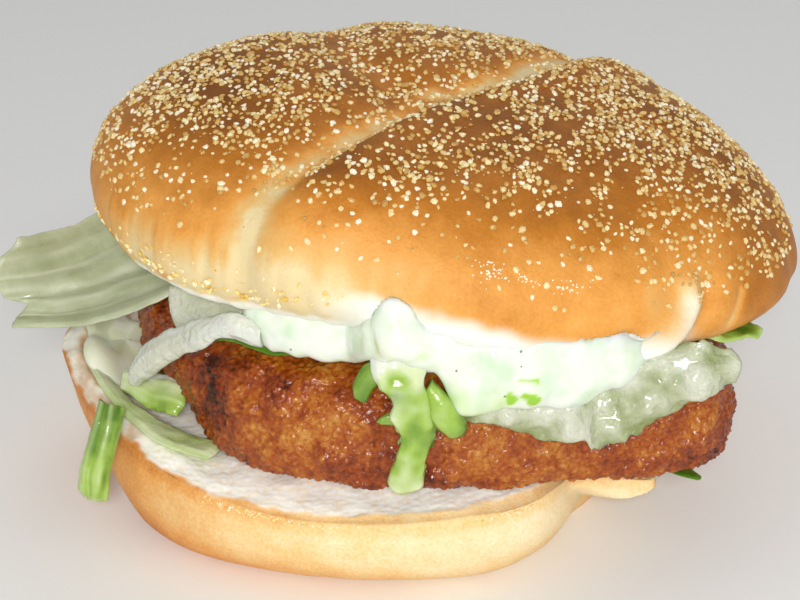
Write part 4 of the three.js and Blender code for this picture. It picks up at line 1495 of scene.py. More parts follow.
def grit(
    name: str, places: Array, ups: Array, radii: Array, sunk: float, draw: np.random.Generator, level: int
) -> bpy.types.Mesh:
    """Many angular grains as one mesh: each is a plain shape with jittered corners, turned at random.

    Args:
        name: The mesh's name.
        places: Where each grain lies, in mm.
        ups: Which way is up there.
        radii: Each grain's radius.
        sunk: Share of its radius that is sunk in.
        draw: The random draw.
        level: Passed to chip_shape.

    Returns:
        The mesh, with each grain's tone.
    """
    shape, faces = chip_shape(level)
    count = len(places)
    aside = unit(np.cross(ups, draw.normal(size=(count, 3))))
    onward = np.cross(ups, aside)
    lean = draw.normal(0, 0.25, (count, 1))
    up = unit(ups + lean * aside)
    across = unit(np.cross(onward, up))
    axes = np.stack([across, np.cross(up, across), up], axis=1)
    sizes = xyz(1, draw.uniform(0.6, 0.95, count), draw.uniform(0.4, 0.7, count))
    local = shape[None] * draw.uniform(0.74, 1.16, (count, len(shape), 1)) * (sizes * radii[:, None])[:, None]
    raise_by = (sizes[:, 2] * radii * (1 - 2 * sunk) * 0.6)[:, None]
    points = np.einsum("nvk,nkd->nvd", local, axes) + (places + ups * raise_by)[:, None]
    numbered = faces[None] + (np.arange(count) * len(shape))[:, None, None]
    tones = draw.beta(1.2, 1.5, count).repeat(len(shape))
    return make_mesh(name, points.reshape(-1, 3), [numbered.reshape(-1, 3)], {"tone": tones})


@dataclass
class Sprinkle:
    """Loose grains or droplets that lie in patches on a side of the roll."""

    name: str
    slot: Slot
    surface: Callable[[Array, Array], Array]  # points at an angle and a share of the way
    patches: tuple[tuple[float, float, float, float], ...]  # angle, its spread, share, its spread
    count: int
    seed: int
    radius: tuple[float, float]
    finish: Cornmeal | OilBeadsAndGlints
    sunk: float = 0.1  # share of a grain's size under the surface

    def build(self) -> Pieces:
        """Makes the grains.

        Returns:
            One piece.
        """
        draw = np.random.default_rng(self.seed)
        rows = np.array(self.patches)[draw.integers(0, len(self.patches), self.count)]
        angle = np.radians(rows[:, 0] + rows[:, 1] * draw.normal(0, 0.7, self.count))
        share = np.minimum(rows[:, 2] + rows[:, 3] * draw.normal(0, 1, self.count), LAST_GRAIN)
        points = self.surface(angle, share)
        aside = self.surface(angle + NUDGE, share) - points
        up = self.surface(angle, share + NUDGE) - points
        normals = unit(np.cross(aside, up))
        outward = xyz(np.cos(angle), np.sin(angle), 0)
        normals *= np.sign(np.sum(normals * outward, axis=-1, keepdims=True))
        low, high = self.radius
        radii = low + (high - low) * draw.uniform(0, 1, self.count) ** 2
        mesh = grit(self.name, points, normals, radii, self.sunk, draw, 1)
        return [make_piece(mesh, self.finish.material(), faceted=True)]


# ---- fish


@dataclass
class Fish:
    """The breaded fillet: a rounded block with craggy sides and a broken lower edge at its left end."""

    bottom: float = 18.0
    top: float = 37.2
    centre: tuple[float, float] = (10.0, -4.0)
    crag: float = 0.7
    undercut: Place = Place(5, -165, 15)
    outline: Pairs = (
        (-30.5, -29.5), (-21, -39.5), (-8, -44.5), (6, -46.5), (21, -46), (36, -43.5), (48, -42),
        (56, -38), (60, -28), (60, -4), (58, 16), (51, 31), (38, 36.5), (16, 37.5), (-8, 36),
        (-28, 32), (-40, 20), (-43, 2), (-39.5, -14),
    )
    profile: Pairs = (
        (14, 18), (3.4, 18), (1, 18.8), (0.2, 21), (0, 24.5), (0.3, 28.5), (1.3, 32), (3.6, 35),
        (8, 36.9), (14, 37.2),
    )  # inset from the outline and height, from the underside to the top
    rows_between: tuple[int, ...] = (6, 8, 8, 12, 13, 12, 13, 15, 13)
    golden_spots: tuple[Spot, ...] = (
        Spot(-15, -43, 26, 8, -0.32), Spot(-6, -44, 30, 6, -0.3), Spot(-23, -38, 31, 5, -0.2),
        Spot(16, -46, 27, 6, -0.25), Spot(30, -45, 24, 7, -0.28), Spot(46, -43, 25, 6, -0.25),
        Spot(54, -40, 29, 4, -0.2), Spot(20, 37, 28, 9, -0.3), Spot(-36, 20, 27, 7, -0.25),
        Spot(60, 6, 27, 8, -0.3),
    )
    burnt_spots: tuple[Spot, ...] = (
        Spot(-27, -34, 29, 4, 0.3), Spot(-22, -38, 20, 6, 0.16), Spot(-30, -30, 35, 6, 0.18),
        Spot(2, -46, 21, 9, 0.12), Spot(56, -37, 22, 6, 0.2), Spot(-18, -36, 36.5, 7, 0.12),
    )
    sides: int = 840

    def point(self, turn: Array, inset: Array, z: Array) -> Array:
        """Points at an inset from the outline, where turn goes once round it from 0 to 1.

        Args:
            turn: Places round the outline.
            inset: Distances in from it.
            z: Heights.

        Returns:
            The points.
        """
        spot, way = curve(self.outline, turn, closed=True)
        x = spot[..., 0] - way[..., 1] * inset
        y = spot[..., 1] + way[..., 0] * inset
        return xyz(x, y, z)

    def profile_rows(self) -> tuple[Array, Array]:
        """Insets and heights of the rows, closest together on the sides.

        Returns:
            Two columns, with a row for each ring.
        """
        ends = np.arange(len(self.profile))
        steps = [start + np.arange(n) / n for start, n in zip(ends[:-1], self.rows_between)]
        place = np.concatenate([*steps, ends[-1:]]) / ends[-1]
        rows, _ = curve(self.profile, place)
        return rows[:, :1], np.clip(rows[:, 1:], self.bottom, self.top)

    def inset_at(self, z: Array) -> Array:
        """How far the upper edge stands in from the outline at a height."""
        upper = np.array(self.profile[4:])
        return np.interp(z, upper[:, 1], upper[:, 0])

    def build(self) -> Pieces:
        """Makes the fillet, its sides and edges covered in fried crumbs.

        Returns:
            The fish alone.
        """
        turn = (np.arange(self.sides) / self.sides)[None, :]
        inset, z = self.profile_rows()
        flat = self.point(turn, inset, z)
        edge = smooth(16, 8, inset)
        angle = np.arctan2(flat[..., 1] - self.centre[1], flat[..., 0] - self.centre[0])
        undercut = smooth(30, self.bottom, z) * unevenness(angle, (self.undercut,))
        crag = self.crag * edge * relief(flat, 7, 1)
        lump = 0.4 * edge * smooth(18.5, 20, z) * relief(flat, 5, 2)
        rows = self.point(turn, inset + undercut + crag, z + lump)

        clumps = layered(rows, 5, 51)
        crumbs = 0.34 * pebbles(rows, 1.5, 52) + 0.26 * pebbles(rows, 0.9, 56) + 0.12 * noise(rows, 0.6, 60)
        flaps = 0.4 * smooth(0.2, 0.7, noise(rows, 3.0, 61))
        points = raised(rows, edge * (0.35 * clumps + crumbs + flaps - 0.45))
        points[..., 2] = np.maximum(points[..., 2], self.bottom - 0.4)

        frying = 0.52 + 0.24 * layered(points, 8, 62) + 0.18 * noise(points, 1.8, 63)
        frying += spotted(points, self.golden_spots + self.burnt_spots)
        # Paler along the top edge: painted light against the shade under the sauce and the crown.
        frying -= 0.28 * smooth(34, 37, points[..., 2])
        # Darker in the cracks between the crumbs and lighter on their tops: painted shade.
        frying -= 0.3 * (crumbs - 0.4)

        low = np.array([*self.centre, self.bottom])
        high = np.array([*self.centre, self.top])
        solid = capped(points, low, high, 4)
        values = {"frying": stretched(frying, len(solid))}
        mesh = make_mesh("fish_fillet", *closed_solid(solid, low, high), values)
        return [make_piece(mesh, FriedCrumb().material(), ["fish"])]


# ---- tartar sauce


@dataclass
class Sauce:
    """The sauce between the fish and the crown, with a thick uneven lip over the front."""

    fish: Fish
    crown: Crown
    front: Points = (
        (-30, -9, 38), (-22, -3.5, 39.5), (-12, -2.6, 39.6), (-5, -2, 39.2), (0, 3, 43),
        (4, 5, 44.6), (9, 4, 41), (14, 4.6, 34), (22, 4.5, 35), (30, 4.5, 34), (38, 3.6, 36.5),
        (44, 1, 38.6), (52, -7, 38.4),
    )  # a place in x, how far the lip stands out past the fish there, and its height
    end_out: float = -8.5
    back_out: float = -2.5
    lip: float = 38.3
    bulge: float = 13.0
    body: float = 24.0
    lip_profile: Pairs = (
        (-4, 0), (-1.1, 0), (0, 0.18), (0.4, 0.5), (-0.5, 0.86), (-2.2, 1),
    )  # distance out from the edge, and share of the drop to the lip
    bulges: tuple[Spot, ...] = (
        Spot(3.5, -51.5, 45.8, 4.6, 2.8), Spot(-12, -44, 41, 5, 0.7), Spot(20, -51, 40, 6, 1.0),
        Spot(33, -49, 39, 4, 0.7), Spot(14, -51, 35.5, 2.4, 0.8),
    )
    sides: int = 900
    lip_rows: int = 40
    inner_rows: int = 9
    body_rows: int = 8
    green_spots: tuple[Spot, ...] = (
        Spot(13, -50, 38, 3.5, 0.5), Spot(24, -50.5, 39.5, 4, 0.25), Spot(20, -50, 36, 3, 0.3),
        Spot(-22, -37, 40, 3, 0.5), Spot(1.5, -51, 48, 3.6, 0.6), Spot(7, -51, 45, 2.8, 0.5),
        Spot(2, -52, 42.5, 2.5, 0.4), Spot(16, -50, 35.5, 2.5, 0.5), Spot(40, -46, 40, 3, 0.25),
    )
    green_bits: tuple[Line, ...] = (  # chopped green in the sauce
        Line(((22.6, -51, 41.4), (24, -51, 41.3), (25.4, -51, 41)), 0.75, 1.0),
        Line(((24, -50.8, 38.4), (25.2, -50.8, 37.8), (24.8, -50.6, 36.9)), 1.25, 1.0),
        Line(((21.2, -50.8, 38.2), (21.6, -50.8, 37.4), (21.4, -50.6, 36.8)), 0.9, 1.0),
    )

    def edge_at(self, points: Array) -> tuple[Array, Array]:
        """How far the sauce stands out past the fish's outline, and its lip's height.

        Args:
            points: Points on the outline.

        Returns:
            Distance out and height.
        """
        x, y = points[..., 0], points[..., 1]
        rows = np.array(self.front)
        after = np.clip(np.searchsorted(rows[:, 0], x, side="right"), 1, len(rows) - 1)
        left, right = rows[after - 1], rows[after]
        share = smooth(left[..., 0], right[..., 0], x)
        front = smooth(-18, -30, y)
        away = blend(self.end_out, self.back_out, smooth(0, 26, y))
        flat = points * (1, 1, 0)
        out = blend(away, blend(left[..., 1], right[..., 1], share), front) + 0.7 * relief(flat, 11, 5)
        lip = blend(self.lip, blend(left[..., 2], right[..., 2], share), front) + 0.5 * relief(flat, 7, 6)
        return out, lip + 0.7 * layered(flat, 4.5, 71)

    def outer(self, turn: Array, lip: Array, out: Array, drop: Array) -> Array:
        """Points of the upper and outer side: out past the fish's outline, and down to the lip by drop.

        Args:
            turn: Places round the fish's outline.
            lip: Height of the lip there.
            out: Distance out past the outline.
            drop: Share of the way down to the lip.

        Returns:
            The points.
        """
        point = self.fish.point(turn, -out, np.zeros_like(turn))
        under = self.crown.under_z(point[..., 0], point[..., 1]) + 4 * AIR
        roof = np.minimum(under, lip + self.bulge)
        point[..., 2] = blend(roof, lip, drop)
        return point

    def inner(self, turn: Array, out: Array, lip: Array, rise: Array) -> Array:
        """Points of the inner side, which rises from the lip at 0 along the fish to its top at 1.

        Args:
            turn: Places round the fish's outline.
            out: How far the lip stands out there.
            lip: Height of the lip there.
            rise: Share of the way up.

        Returns:
            The points.
        """
        z = blend(np.maximum(lip, self.fish.top) + AIR, self.fish.top + 2 * AIR, rise)
        low = np.minimum(z, lip + 2.5 * rise)
        inset = np.maximum(self.fish.inset_at(low) - self.fish.crag - AIR, 2.6 - out)
        return self.fish.point(turn, inset + 1.5 * rise, np.maximum(low, lip + AIR))

    def build(self) -> Pieces:
        """Makes the sauce, from under its body out along the fish, round the lip and back over.

        Returns:
            The sauce alone.
        """
        turn = (np.arange(self.sides) / self.sides)[None, :]
        outline = self.fish.point(turn, np.zeros_like(turn), np.zeros_like(turn))
        out, lip = self.edge_at(outline)
        rise = np.linspace(0.9, 0.1, self.inner_rows)[:, None]
        profile, _ = curve(self.lip_profile, np.linspace(1, 0, self.lip_rows))
        drop = np.clip(profile[:, 1:], 0, 1)
        back = np.linspace(0, 1, self.body_rows + 1)[1:, None]
        far_out = blend(out - 4, -self.body, back)
        lip_rows = self.outer(turn, lip, out + profile[:, :1], drop)
        rows = np.concatenate([
            self.fish.point(turn, np.full_like(out, self.body), self.fish.top + 2 * AIR),
            self.inner(turn, out, lip, rise),
            lip_rows,
            self.outer(turn, lip, far_out, np.zeros_like(back)),
        ])
        start = 1 + self.inner_rows
        weight = np.zeros(rows.shape[:2])
        weight[start : start + self.lip_rows] = np.sin(np.linspace(0.25, 2.6, self.lip_rows))[:, None]
        lumps = 0.75 * noise(rows, 6.5, 72) + 0.4 * noise(rows, 3.2, 73) + 0.12 * noise(rows, 1.4, 74)
        points = raised(rows, weight * (lumps + 0.25 + spotted(rows, self.bulges)))

        centre = np.array([*self.fish.centre, 0.0])
        low = centre + (0, 0, self.fish.top + 2 * AIR)
        high = centre + (0, 0, float(self.crown.cut_face_z(centre[:1], centre[1:2])[0]) - 2 * AIR)
        solid = capped(points, low, high, 3)
        # The -0.25 * lumps term makes the sauce greener in the hollows between its lumps: painted mint shade.
        green = spotted(points, self.green_spots) * (0.7 + 0.8 * noise(points, 2, 75)) - 0.25 * lumps
        green = np.clip(green + smooth(0.3, 0.7, lined(points, self.green_bits)), 0, 1)
        values = {"green": stretched(green, len(solid))}
        mesh = make_mesh("tartar_sauce", *closed_solid(solid, low, high), values)
        return [make_piece(mesh, TartarSauce().material(), ["sauce"])]


@dataclass
class Puddle:
    """The puddle of sauce that ran onto the heel's left end."""

    heel: Heel
    x: float = -45.5
    y: float = 0.0
    half_width: float = 7.5
    half_depth: float = 13.0
    height: float = 3.8
    profile: Pairs = (
        (0.5, 0), (0.9, 0), (1, 0.3), (0.94, 0.62), (0.76, 0.87), (0.42, 1),
    )
    humps: tuple[Spot, ...] = (
        Spot(-45, 6, 0, 5, 0.7), Spot(-47.5, -6, 0, 4.5, 0.6), Spot(-41, -2, 0, 3, 0.3),
    )
    sides: int = 200
    rows: int = 48

    def build(self) -> Pieces:
        """Makes the puddle: its profile carried round an uneven oval, with soft lumps.

        Returns:
            The puddle alone.
        """
        angle = 2 * math.pi * np.arange(self.sides)[None, :] / self.sides
        share, rise = np.moveaxis(curve(self.profile, np.linspace(0, 1, self.rows))[0], -1, 0)
        reach = 1 + 0.12 * np.sin(3 * angle + 1)
        reach = reach / np.hypot(np.cos(angle) / self.half_width, np.sin(angle) / self.half_depth)
        x = self.x + share[:, None] * reach * np.cos(angle)
        y = self.y + share[:, None] * reach * np.sin(angle)
        plan = xyz(x, y, 0)
        lump = 1 + 0.1 * relief(plan, 9, 7) + 0.06 * noise(plan, 5, 76) + spotted(plan, self.humps)
        z = self.heel.top_at(x, y) + AIR + self.height * np.clip(rise, 0, 1)[:, None] * lump
        rows = xyz(x, y, z)
        low = rows[0].mean(axis=0)
        high = rows[-1].mean(axis=0)
        solid = capped(rows, low, high, 5)
        points, faces = closed_solid(solid, low, high)
        green = 0.2 + 0.12 * noise(points, 6, 77)
        mesh = make_mesh("sauce_puddle", points, faces, {"green": green})
        # Whiter than the sauce above: its pale yellow tint is its own, and the extra brightness is painted
        # light against the leaf's shade.
        finish = TartarSauce(name="thin_sauce_painted_light", white="#fafce6", tint="#eef6cc")
        return [make_piece(mesh, finish.material(), ["sauce_left"])]


# ---- lettuce


@dataclass(frozen=True)
class Leaf:
    """One torn piece of lettuce: a thin wavy sheet between two edges, from its hidden root to its tip."""

    name: str
    kind: LeafKind
    near: Points
    far: Points
    thickness: float
    bow: float  # how far its middle is pushed along lift
    lift: tuple[float, float, float]
    ripples: float = 0.0
    height: float = 0.0  # of the ripples
    tip: float = 0.0  # roundness of its end
    fringe: tuple[float, ...] = ()  # or the torn end's reach, from the near edge to the far one
    across: bool = False  # the ripples follow one another across it
    on_heel: bool = False
    ribs: float = 0.0  # how many ribs run along it
    green: tuple[float, float, float] = (0.3, 0.5, 0.6)  # at the root, at the tip and along the edges
    smear: tuple[float, float] = (0.0, 0.0)  # sauce reaches this far from the root, and from the far edge
    crinkle: float = 0.22
    crumple: float = 0.0  # height of the larger crumples
    ragged: float = 0.5  # depth of the nicks in its long edges
    streaks: float = 0.0  # darker streaks along it
    rib_sharpness: float = 14.0

    def sheet(self, u: Array, v: Array, heel: Heel) -> Array:
        """Points of the middle surface.

        Each lies on the straight line from the near edge to the far one. The tip is drawn out or torn
        back along the leaf, and the bow and the ripples lift it.

        Args:
            u: From root to tip.
            v: From the near edge to the far one.
            heel: What it may lie on.

        Returns:
            The points.
        """
        near, near_way = curve(self.near, u)
        far, far_way = curve(self.far, u)
        share = v[..., None]
        points = blend(near, far, share)
        onward = unit(blend(near_way, far_way, share))
        middle = 4 * v * (1 - v)
        reach = self.fringe_at(v) if self.fringe else self.tip * (middle - 0.5)
        wave = np.sin(2 * math.pi * self.ripples * (v if self.across else u))
        points = points + onward * (reach * smooth(0.6, 1, u))[..., None]
        points = points + unit(np.array(self.lift)) * (self.bow * middle + self.height * wave)[..., None]
        if self.on_heel:
            bed = heel.top_at(points[..., 0], points[..., 1]) + 2 * AIR + self.thickness / 2
            points[..., 2] = np.maximum(points[..., 2], bed)
        return points

    def fringe_at(self, v: Array) -> Array:
        """Reach of the torn end, between rows spaced evenly across it.

        Args:
            v: From the near edge to the far one.

        Returns:
            The reach in mm.
        """
        place = v * (len(self.fringe) - 1)
        row = np.minimum(np.floor(place).astype(int), len(self.fringe) - 2)
        rows = np.array(self.fringe)
        return blend(rows[row], rows[row + 1], smooth(0, 1, place - row))

    def build(self, heel: Heel) -> Pieces:
        """Makes the leaf: two faces a thickness apart, thinner at the edges, with ribs and crinkles.

        Args:
            heel: What it may lie on.

        Returns:
            The leaf alone.
        """
        coarse = self.sheet(*np.meshgrid(np.linspace(0, 1, 20), np.linspace(0, 1, 12), indexing="ij"), heel)
        length = np.linalg.norm(np.diff(coarse, axis=0), axis=-1).sum(axis=0).max()
        width = np.linalg.norm(np.diff(coarse, axis=1), axis=-1).sum(axis=1).max()
        rows = int(np.clip(length / LEAF_STEP, 30, 220))
        columns = int(np.clip(width / LEAF_STEP, 24, 160))
        u, v = np.meshgrid(np.linspace(0, 1, rows), np.linspace(0, 1, columns), indexing="ij")
        plain = self.sheet(u, v, heel)
        ragged = self.ragged / width * layered(plain, 3.4, 81) * np.abs(2 * v - 1) ** 3
        middle = self.sheet(u, np.clip(v + ragged * np.sign(0.5 - v), 0, 1), heel)

        seed = sum(map(ord, self.name))
        sideways = v + 0.05 * noise(middle, 7, seed)
        comb = np.abs(np.sin(math.pi * (self.ribs * sideways + 0.5)))
        ribbed = comb**self.rib_sharpness if self.ribs else 0 * v
        ribbed = ribbed * (0.55 + 0.45 * noise(middle, 5, seed + 1)) * smooth(1.0, 0.75, np.abs(2 * v - 1))
        crinkle = self.crinkle * (0.7 * noise(middle, 3.4, seed + 2) + 0.45 * noise(middle, 1.6, seed + 3))
        crinkle = crinkle + self.crumple * noise(middle, 5.5, seed + 6)
        to_edge = np.minimum(np.minimum(v, 1 - v) * width, (1 - u) * length)
        half = self.thickness / 2 * (0.25 + 0.75 * smooth(0, 0.45 * self.thickness + 0.5, to_edge))
        normals = -grid_normals(middle, False)
        fore = middle + normals * (crinkle + half * (1 + 0.5 * ribbed))[..., None]
        back = middle + normals * (crinkle - half * (1 + 0.5 * ribbed))[..., None]

        root, tip, edges = self.green
        green = blend(root, tip, u) + edges * np.exp(-((to_edge / 0.9) ** 2))
        green = green + 0.16 * noise(middle, 4, seed + 4)
        lengthwise = xyz(0.1 * u * length, v * width, 0)
        green = green + self.streaks * layered(lengthwise, 1.2, seed + 7) - 0.6 * crinkle
        wet = 0.25 * noise(middle, 3, seed + 5)
        smeared = smooth(self.smear[0] + 0.1, self.smear[0] - 0.1, u + wet) if self.smear[0] else 0 * u
        if self.smear[1]:
            smeared = np.maximum(smeared, smooth(1.05 - self.smear[1], 1.15 - self.smear[1], v + 0.5 * wet))
        values = {
            key: np.concatenate([value.ravel(), value.ravel()])
            for key, value in {"green": green, "rib": 0.8 * ribbed, "smear": 0.92 * smeared}.items()
        }
        points = np.concatenate([fore.reshape(-1, 3), back.reshape(-1, 3)])
        mesh = make_mesh(self.name + "_leaf", points, self.faces(rows, columns), values)
        finish = self.kind.value
        return [make_piece(mesh, finish.material(), [self.name])]

    def faces(self, rows: int, columns: int) -> list[Array]:
        """Faces of both sides and of the strip round their edges.

        Args:
            rows: Rows of points on a side.
            columns: Points in a row.

        Returns:
            The arrays of faces.
        """
        front = quads(rows, columns, False)
        count = rows * columns
        number = np.arange(count).reshape(rows, columns)
        border = [number[0, :-1], number[:-1, -1], number[-1, :0:-1], number[:0:-1, 0]]
        ring = np.concatenate(border)
        after = np.roll(ring, -1)
        strip = np.stack([ring, after, after + count, ring + count], axis=-1)
        return [front[:, ::-1], front + count, strip]


LEAVES = (
    Leaf(
        "lettuce_leaf_left", LeafKind.PALE,
        near=((-33, -10, 38.5), (-43, -12, 34), (-52.5, -10.5, 31), (-62.2, -9, 30)),
        far=((-36, 12, 43.5), (-46, 14, 44.5), (-55, 6, 43.2), (-62.5, -1, 44)),
        thickness=1.1, bow=-2.5, lift=(0, -0.4, 0.9), ripples=4, height=0.3,
        fringe=(2, 1.5, -0.5, 4, 6.5, 5, 1), across=True, ribs=6, green=(0.3, 0.45, -0.25), crinkle=0.15,
        streaks=0.2, rib_sharpness=5,
    ),
    Leaf(
        "lettuce_fold_left", LeafKind.CLEAR,
        near=((-20, -33, 42.5), (-27, -30, 41.5), (-33, -25, 36.5)),
        far=((-19, -27, 44.5), (-27, -24, 45), (-35, -21, 43.5)),
        thickness=0.8, bow=1, lift=(0, -1, 0.3), ripples=1, height=0.3, tip=1, ribs=2,
        green=(0.2, 0.1, 0.1), rib_sharpness=5,
    ),
    Leaf(
        "lettuce_curl", LeafKind.CLEAR,
        near=(
            (-18, -37, 40), (-23.4, -35, 41), (-28.5, -32.5, 37.5), (-34, -28, 33),
            (-38, -24.5, 28.5), (-40.6, -23, 25.5),
        ),
        far=(
            (-18, -36, 44), (-23, -34, 45), (-28, -31, 42.6), (-33, -27, 39),
            (-38.5, -23.5, 34), (-42, -21.5, 28.5),
        ),
        thickness=0.8, bow=1.6, lift=(-0.3, -1, 0.2), ripples=0.5, height=0.4, tip=1.6, ribs=3,
        green=(-0.4, -0.2, 0.05), smear=(0.4, 0.3), crinkle=0.3, crumple=0.5, ragged=1.2, rib_sharpness=6,
    ),
    Leaf(
        "lettuce_cup_left", LeafKind.FRESH,
        near=(
            (-51, -10, 22), (-47.5, -18, 20.5), (-42, -26, 19), (-36.5, -31.8, 18.4),
            (-28, -35.5, 18.2),
        ),
        far=(
            (-49.4, -9, 21.3), (-45.3, -15.8, 20.6), (-39, -22.6, 19.3), (-32, -27.2, 18.7),
            (-25.5, -31, 18.4),
        ),
        thickness=1.5, bow=-0.2, lift=(0, 0, 1), ripples=0.5, height=0.2, tip=0.5, on_heel=True,
        green=(0.1, 0.45, -0.15), crinkle=0.25, streaks=0.45, ragged=0.3,
    ),
    Leaf(
        "lettuce_green_left", LeafKind.GREEN,
        near=((-44, -17.5, 22.3), (-41, -21, 21.6), (-37, -24.5, 21.3), (-33.5, -25.5, 21)),
        far=((-44, -15, 23.5), (-40.5, -14.5, 24.5), (-36.5, -16.5, 25), (-33, -20, 24)),
        thickness=0.9, bow=1.2, lift=(0.2, -0.5, 0.8), ripples=1.5, height=0.5, tip=1.2, ribs=3,
        green=(0.05, 0.1, 0.25), smear=(0, 0.4), crinkle=0.45, crumple=0.6, ragged=1.2, rib_sharpness=8,
    ),
    Leaf(
        "lettuce_stem_left", LeafKind.GREEN,
        near=((-46.8, -25.5, 24.6), (-47.6, -28.4, 21.5), (-49.8, -30.6, 15), (-50.6, -31.2, 10.3)),
        far=((-42.4, -27.5, 24), (-43, -30.4, 21), (-44.8, -32.6, 14.5), (-45.4, -33.2, 9)),
        thickness=2, bow=1, lift=(-0.5, -0.8, 0), tip=0.6, ribs=3,
        green=(0.95, 0.45, -0.3), crinkle=0.2, streaks=0.9, rib_sharpness=4,
    ),
    Leaf(
        "lettuce_under_sauce", LeafKind.GREEN,
        near=((-27, -30.5, 38), (-21, -33.8, 38.4), (-15, -36.5, 38.3), (-8, -38.5, 38.2)),
        far=((-24, -26, 38.6), (-18, -28.5, 38.8), (-12, -31, 38.7), (-7, -33.5, 38.5)),
        thickness=0.7, bow=0.5, lift=(0, 0, 1), ripples=1.5, height=0.4, tip=1,
        green=(0.9, 0.8, 0.2), crinkle=0.4,
    ),
    Leaf(
        "lettuce_center", LeafKind.GREEN,
        near=(
            (-0.2, -47.5, 44.6), (-0.2, -50.2, 41.6), (2.2, -51.2, 36.5), (3.4, -51.2, 31),
            (2.2, -50.4, 25), (2.4, -50, 21.2),
        ),
        far=(
            (7.8, -47.4, 44.4), (8.6, -49.6, 41), (9.6, -50.6, 36), (9.6, -50.6, 31),
            (8.4, -50, 26), (7.2, -49.6, 21.8),
        ),
        thickness=1.6, bow=1.3, lift=(0, -1, 0.1), tip=1.2,
        green=(0.05, 0.4, 0.12), smear=(0.2, 0), crinkle=0.9, crumple=1.1, ragged=2.0,
    ),
    Leaf(
        "lettuce_lobe_left", LeafKind.GREEN,
        near=((1, -47.6, 43.4), (-1.8, -48, 42.2), (-3.4, -48.2, 39.4), (-2.6, -48.2, 36.8)),
        far=((2.4, -47.4, 40.6), (1.2, -47.8, 39), (-0.4, -48.2, 37.4), (-1.4, -48.2, 36.3)),
        thickness=1.6, bow=0.9, lift=(0, -1, 0), tip=0.5,
        green=(0.45, 0.9, 0.1), crumple=0.3, crinkle=0.35,
    ),
    Leaf(
        "lettuce_lobe_right", LeafKind.GREEN,
        near=((7.8, -48.4, 37.4), (8.8, -49.2, 34.6), (10.6, -49.8, 32), (12.4, -49.8, 30.6)),
        far=((9, -48.4, 40.4), (11.2, -49.4, 37.6), (13.4, -50, 34.6), (14.6, -49.8, 32)),
        thickness=1.8, bow=1.1, lift=(0, -1, 0.2), tip=0.7,
        green=(0.75, 0.9, 0.1), crumple=0.6, crinkle=0.5,
    ),
    Leaf(
        "lettuce_point_center", LeafKind.GREEN,
        near=((4.6, -48, 31.6), (2.4, -48.4, 31.8), (0.4, -48.6, 32.4)),
        far=((4.6, -48, 35), (2.4, -48.4, 34.2), (0.6, -48.6, 33.2)),
        thickness=0.8, bow=0.3, lift=(0, -1, 0), tip=0.4,
        green=(0.5, 0.7, 0.2),
    ),
    Leaf(
        "lettuce_sheet_right", LeafKind.CLEAR,
        near=(
            (12, -47.8, 32.8), (22, -48.8, 31), (26.5, -48.6, 29.2), (32, -48.2, 28.6),
            (35.5, -47.8, 26.8), (41, -46.6, 28.4), (47, -46, 32.2), (52, -45.4, 34.6),
            (58.2, -42, 36.6),
        ),
        far=(
            (12, -43.5, 39.4), (22, -43.6, 39.6), (26.5, -43.2, 39.6), (32, -42.6, 39.4),
            (35.5, -42.2, 39.4), (41, -42.4, 41.6), (47, -42.4, 43.4), (51.5, -42.2, 43.8),
            (57.4, -40.9, 41.3),
        ),
        thickness=0.8, bow=1.3, lift=(0, -0.8, 0.5), ripples=3.5, height=0.8, tip=1.2,
        green=(0.4, 0.2, 0.3), crinkle=1.1, crumple=0.5, ragged=2.4, streaks=0.15,
    ),
    Leaf(
        "lettuce_frill_right", LeafKind.GREEN,
        near=((53.2, -31, 38.2), (56, -31.5, 38.4), (60, -30.8, 38), (63.4, -29.5, 37.6)),
        far=((53.2, -24, 38.4), (56, -24.5, 38.6), (60, -24, 38.4), (64, -24.5, 37.8)),
        thickness=0.7, bow=0.3, lift=(0, 0, 1), ripples=1.5, height=0.4, tip=1,
        green=(1.0, 0.7, -0.4), crinkle=0.7, ragged=2.6,
    ),
    Leaf(
        "lettuce_tip_right", LeafKind.GREEN,
        near=((46, -35.5, 17.1), (50, -38, 17), (53.4, -39.6, 16.8)),
        far=((47.5, -32, 17.1), (51.5, -34.5, 17), (54, -38.4, 16.9)),
        thickness=0.6, bow=0, lift=(0, 0, 1), tip=0.3, green=(0.9, 0.9, 0.1),
    ),
)


# ---- studio


@dataclass(frozen=True)
class Lamp:
    """A soft square light, aimed at the sandwich."""

    name: str
    place: tuple[float, float, float]
    size: float
    power: float
    colour: str = "#ffffff"


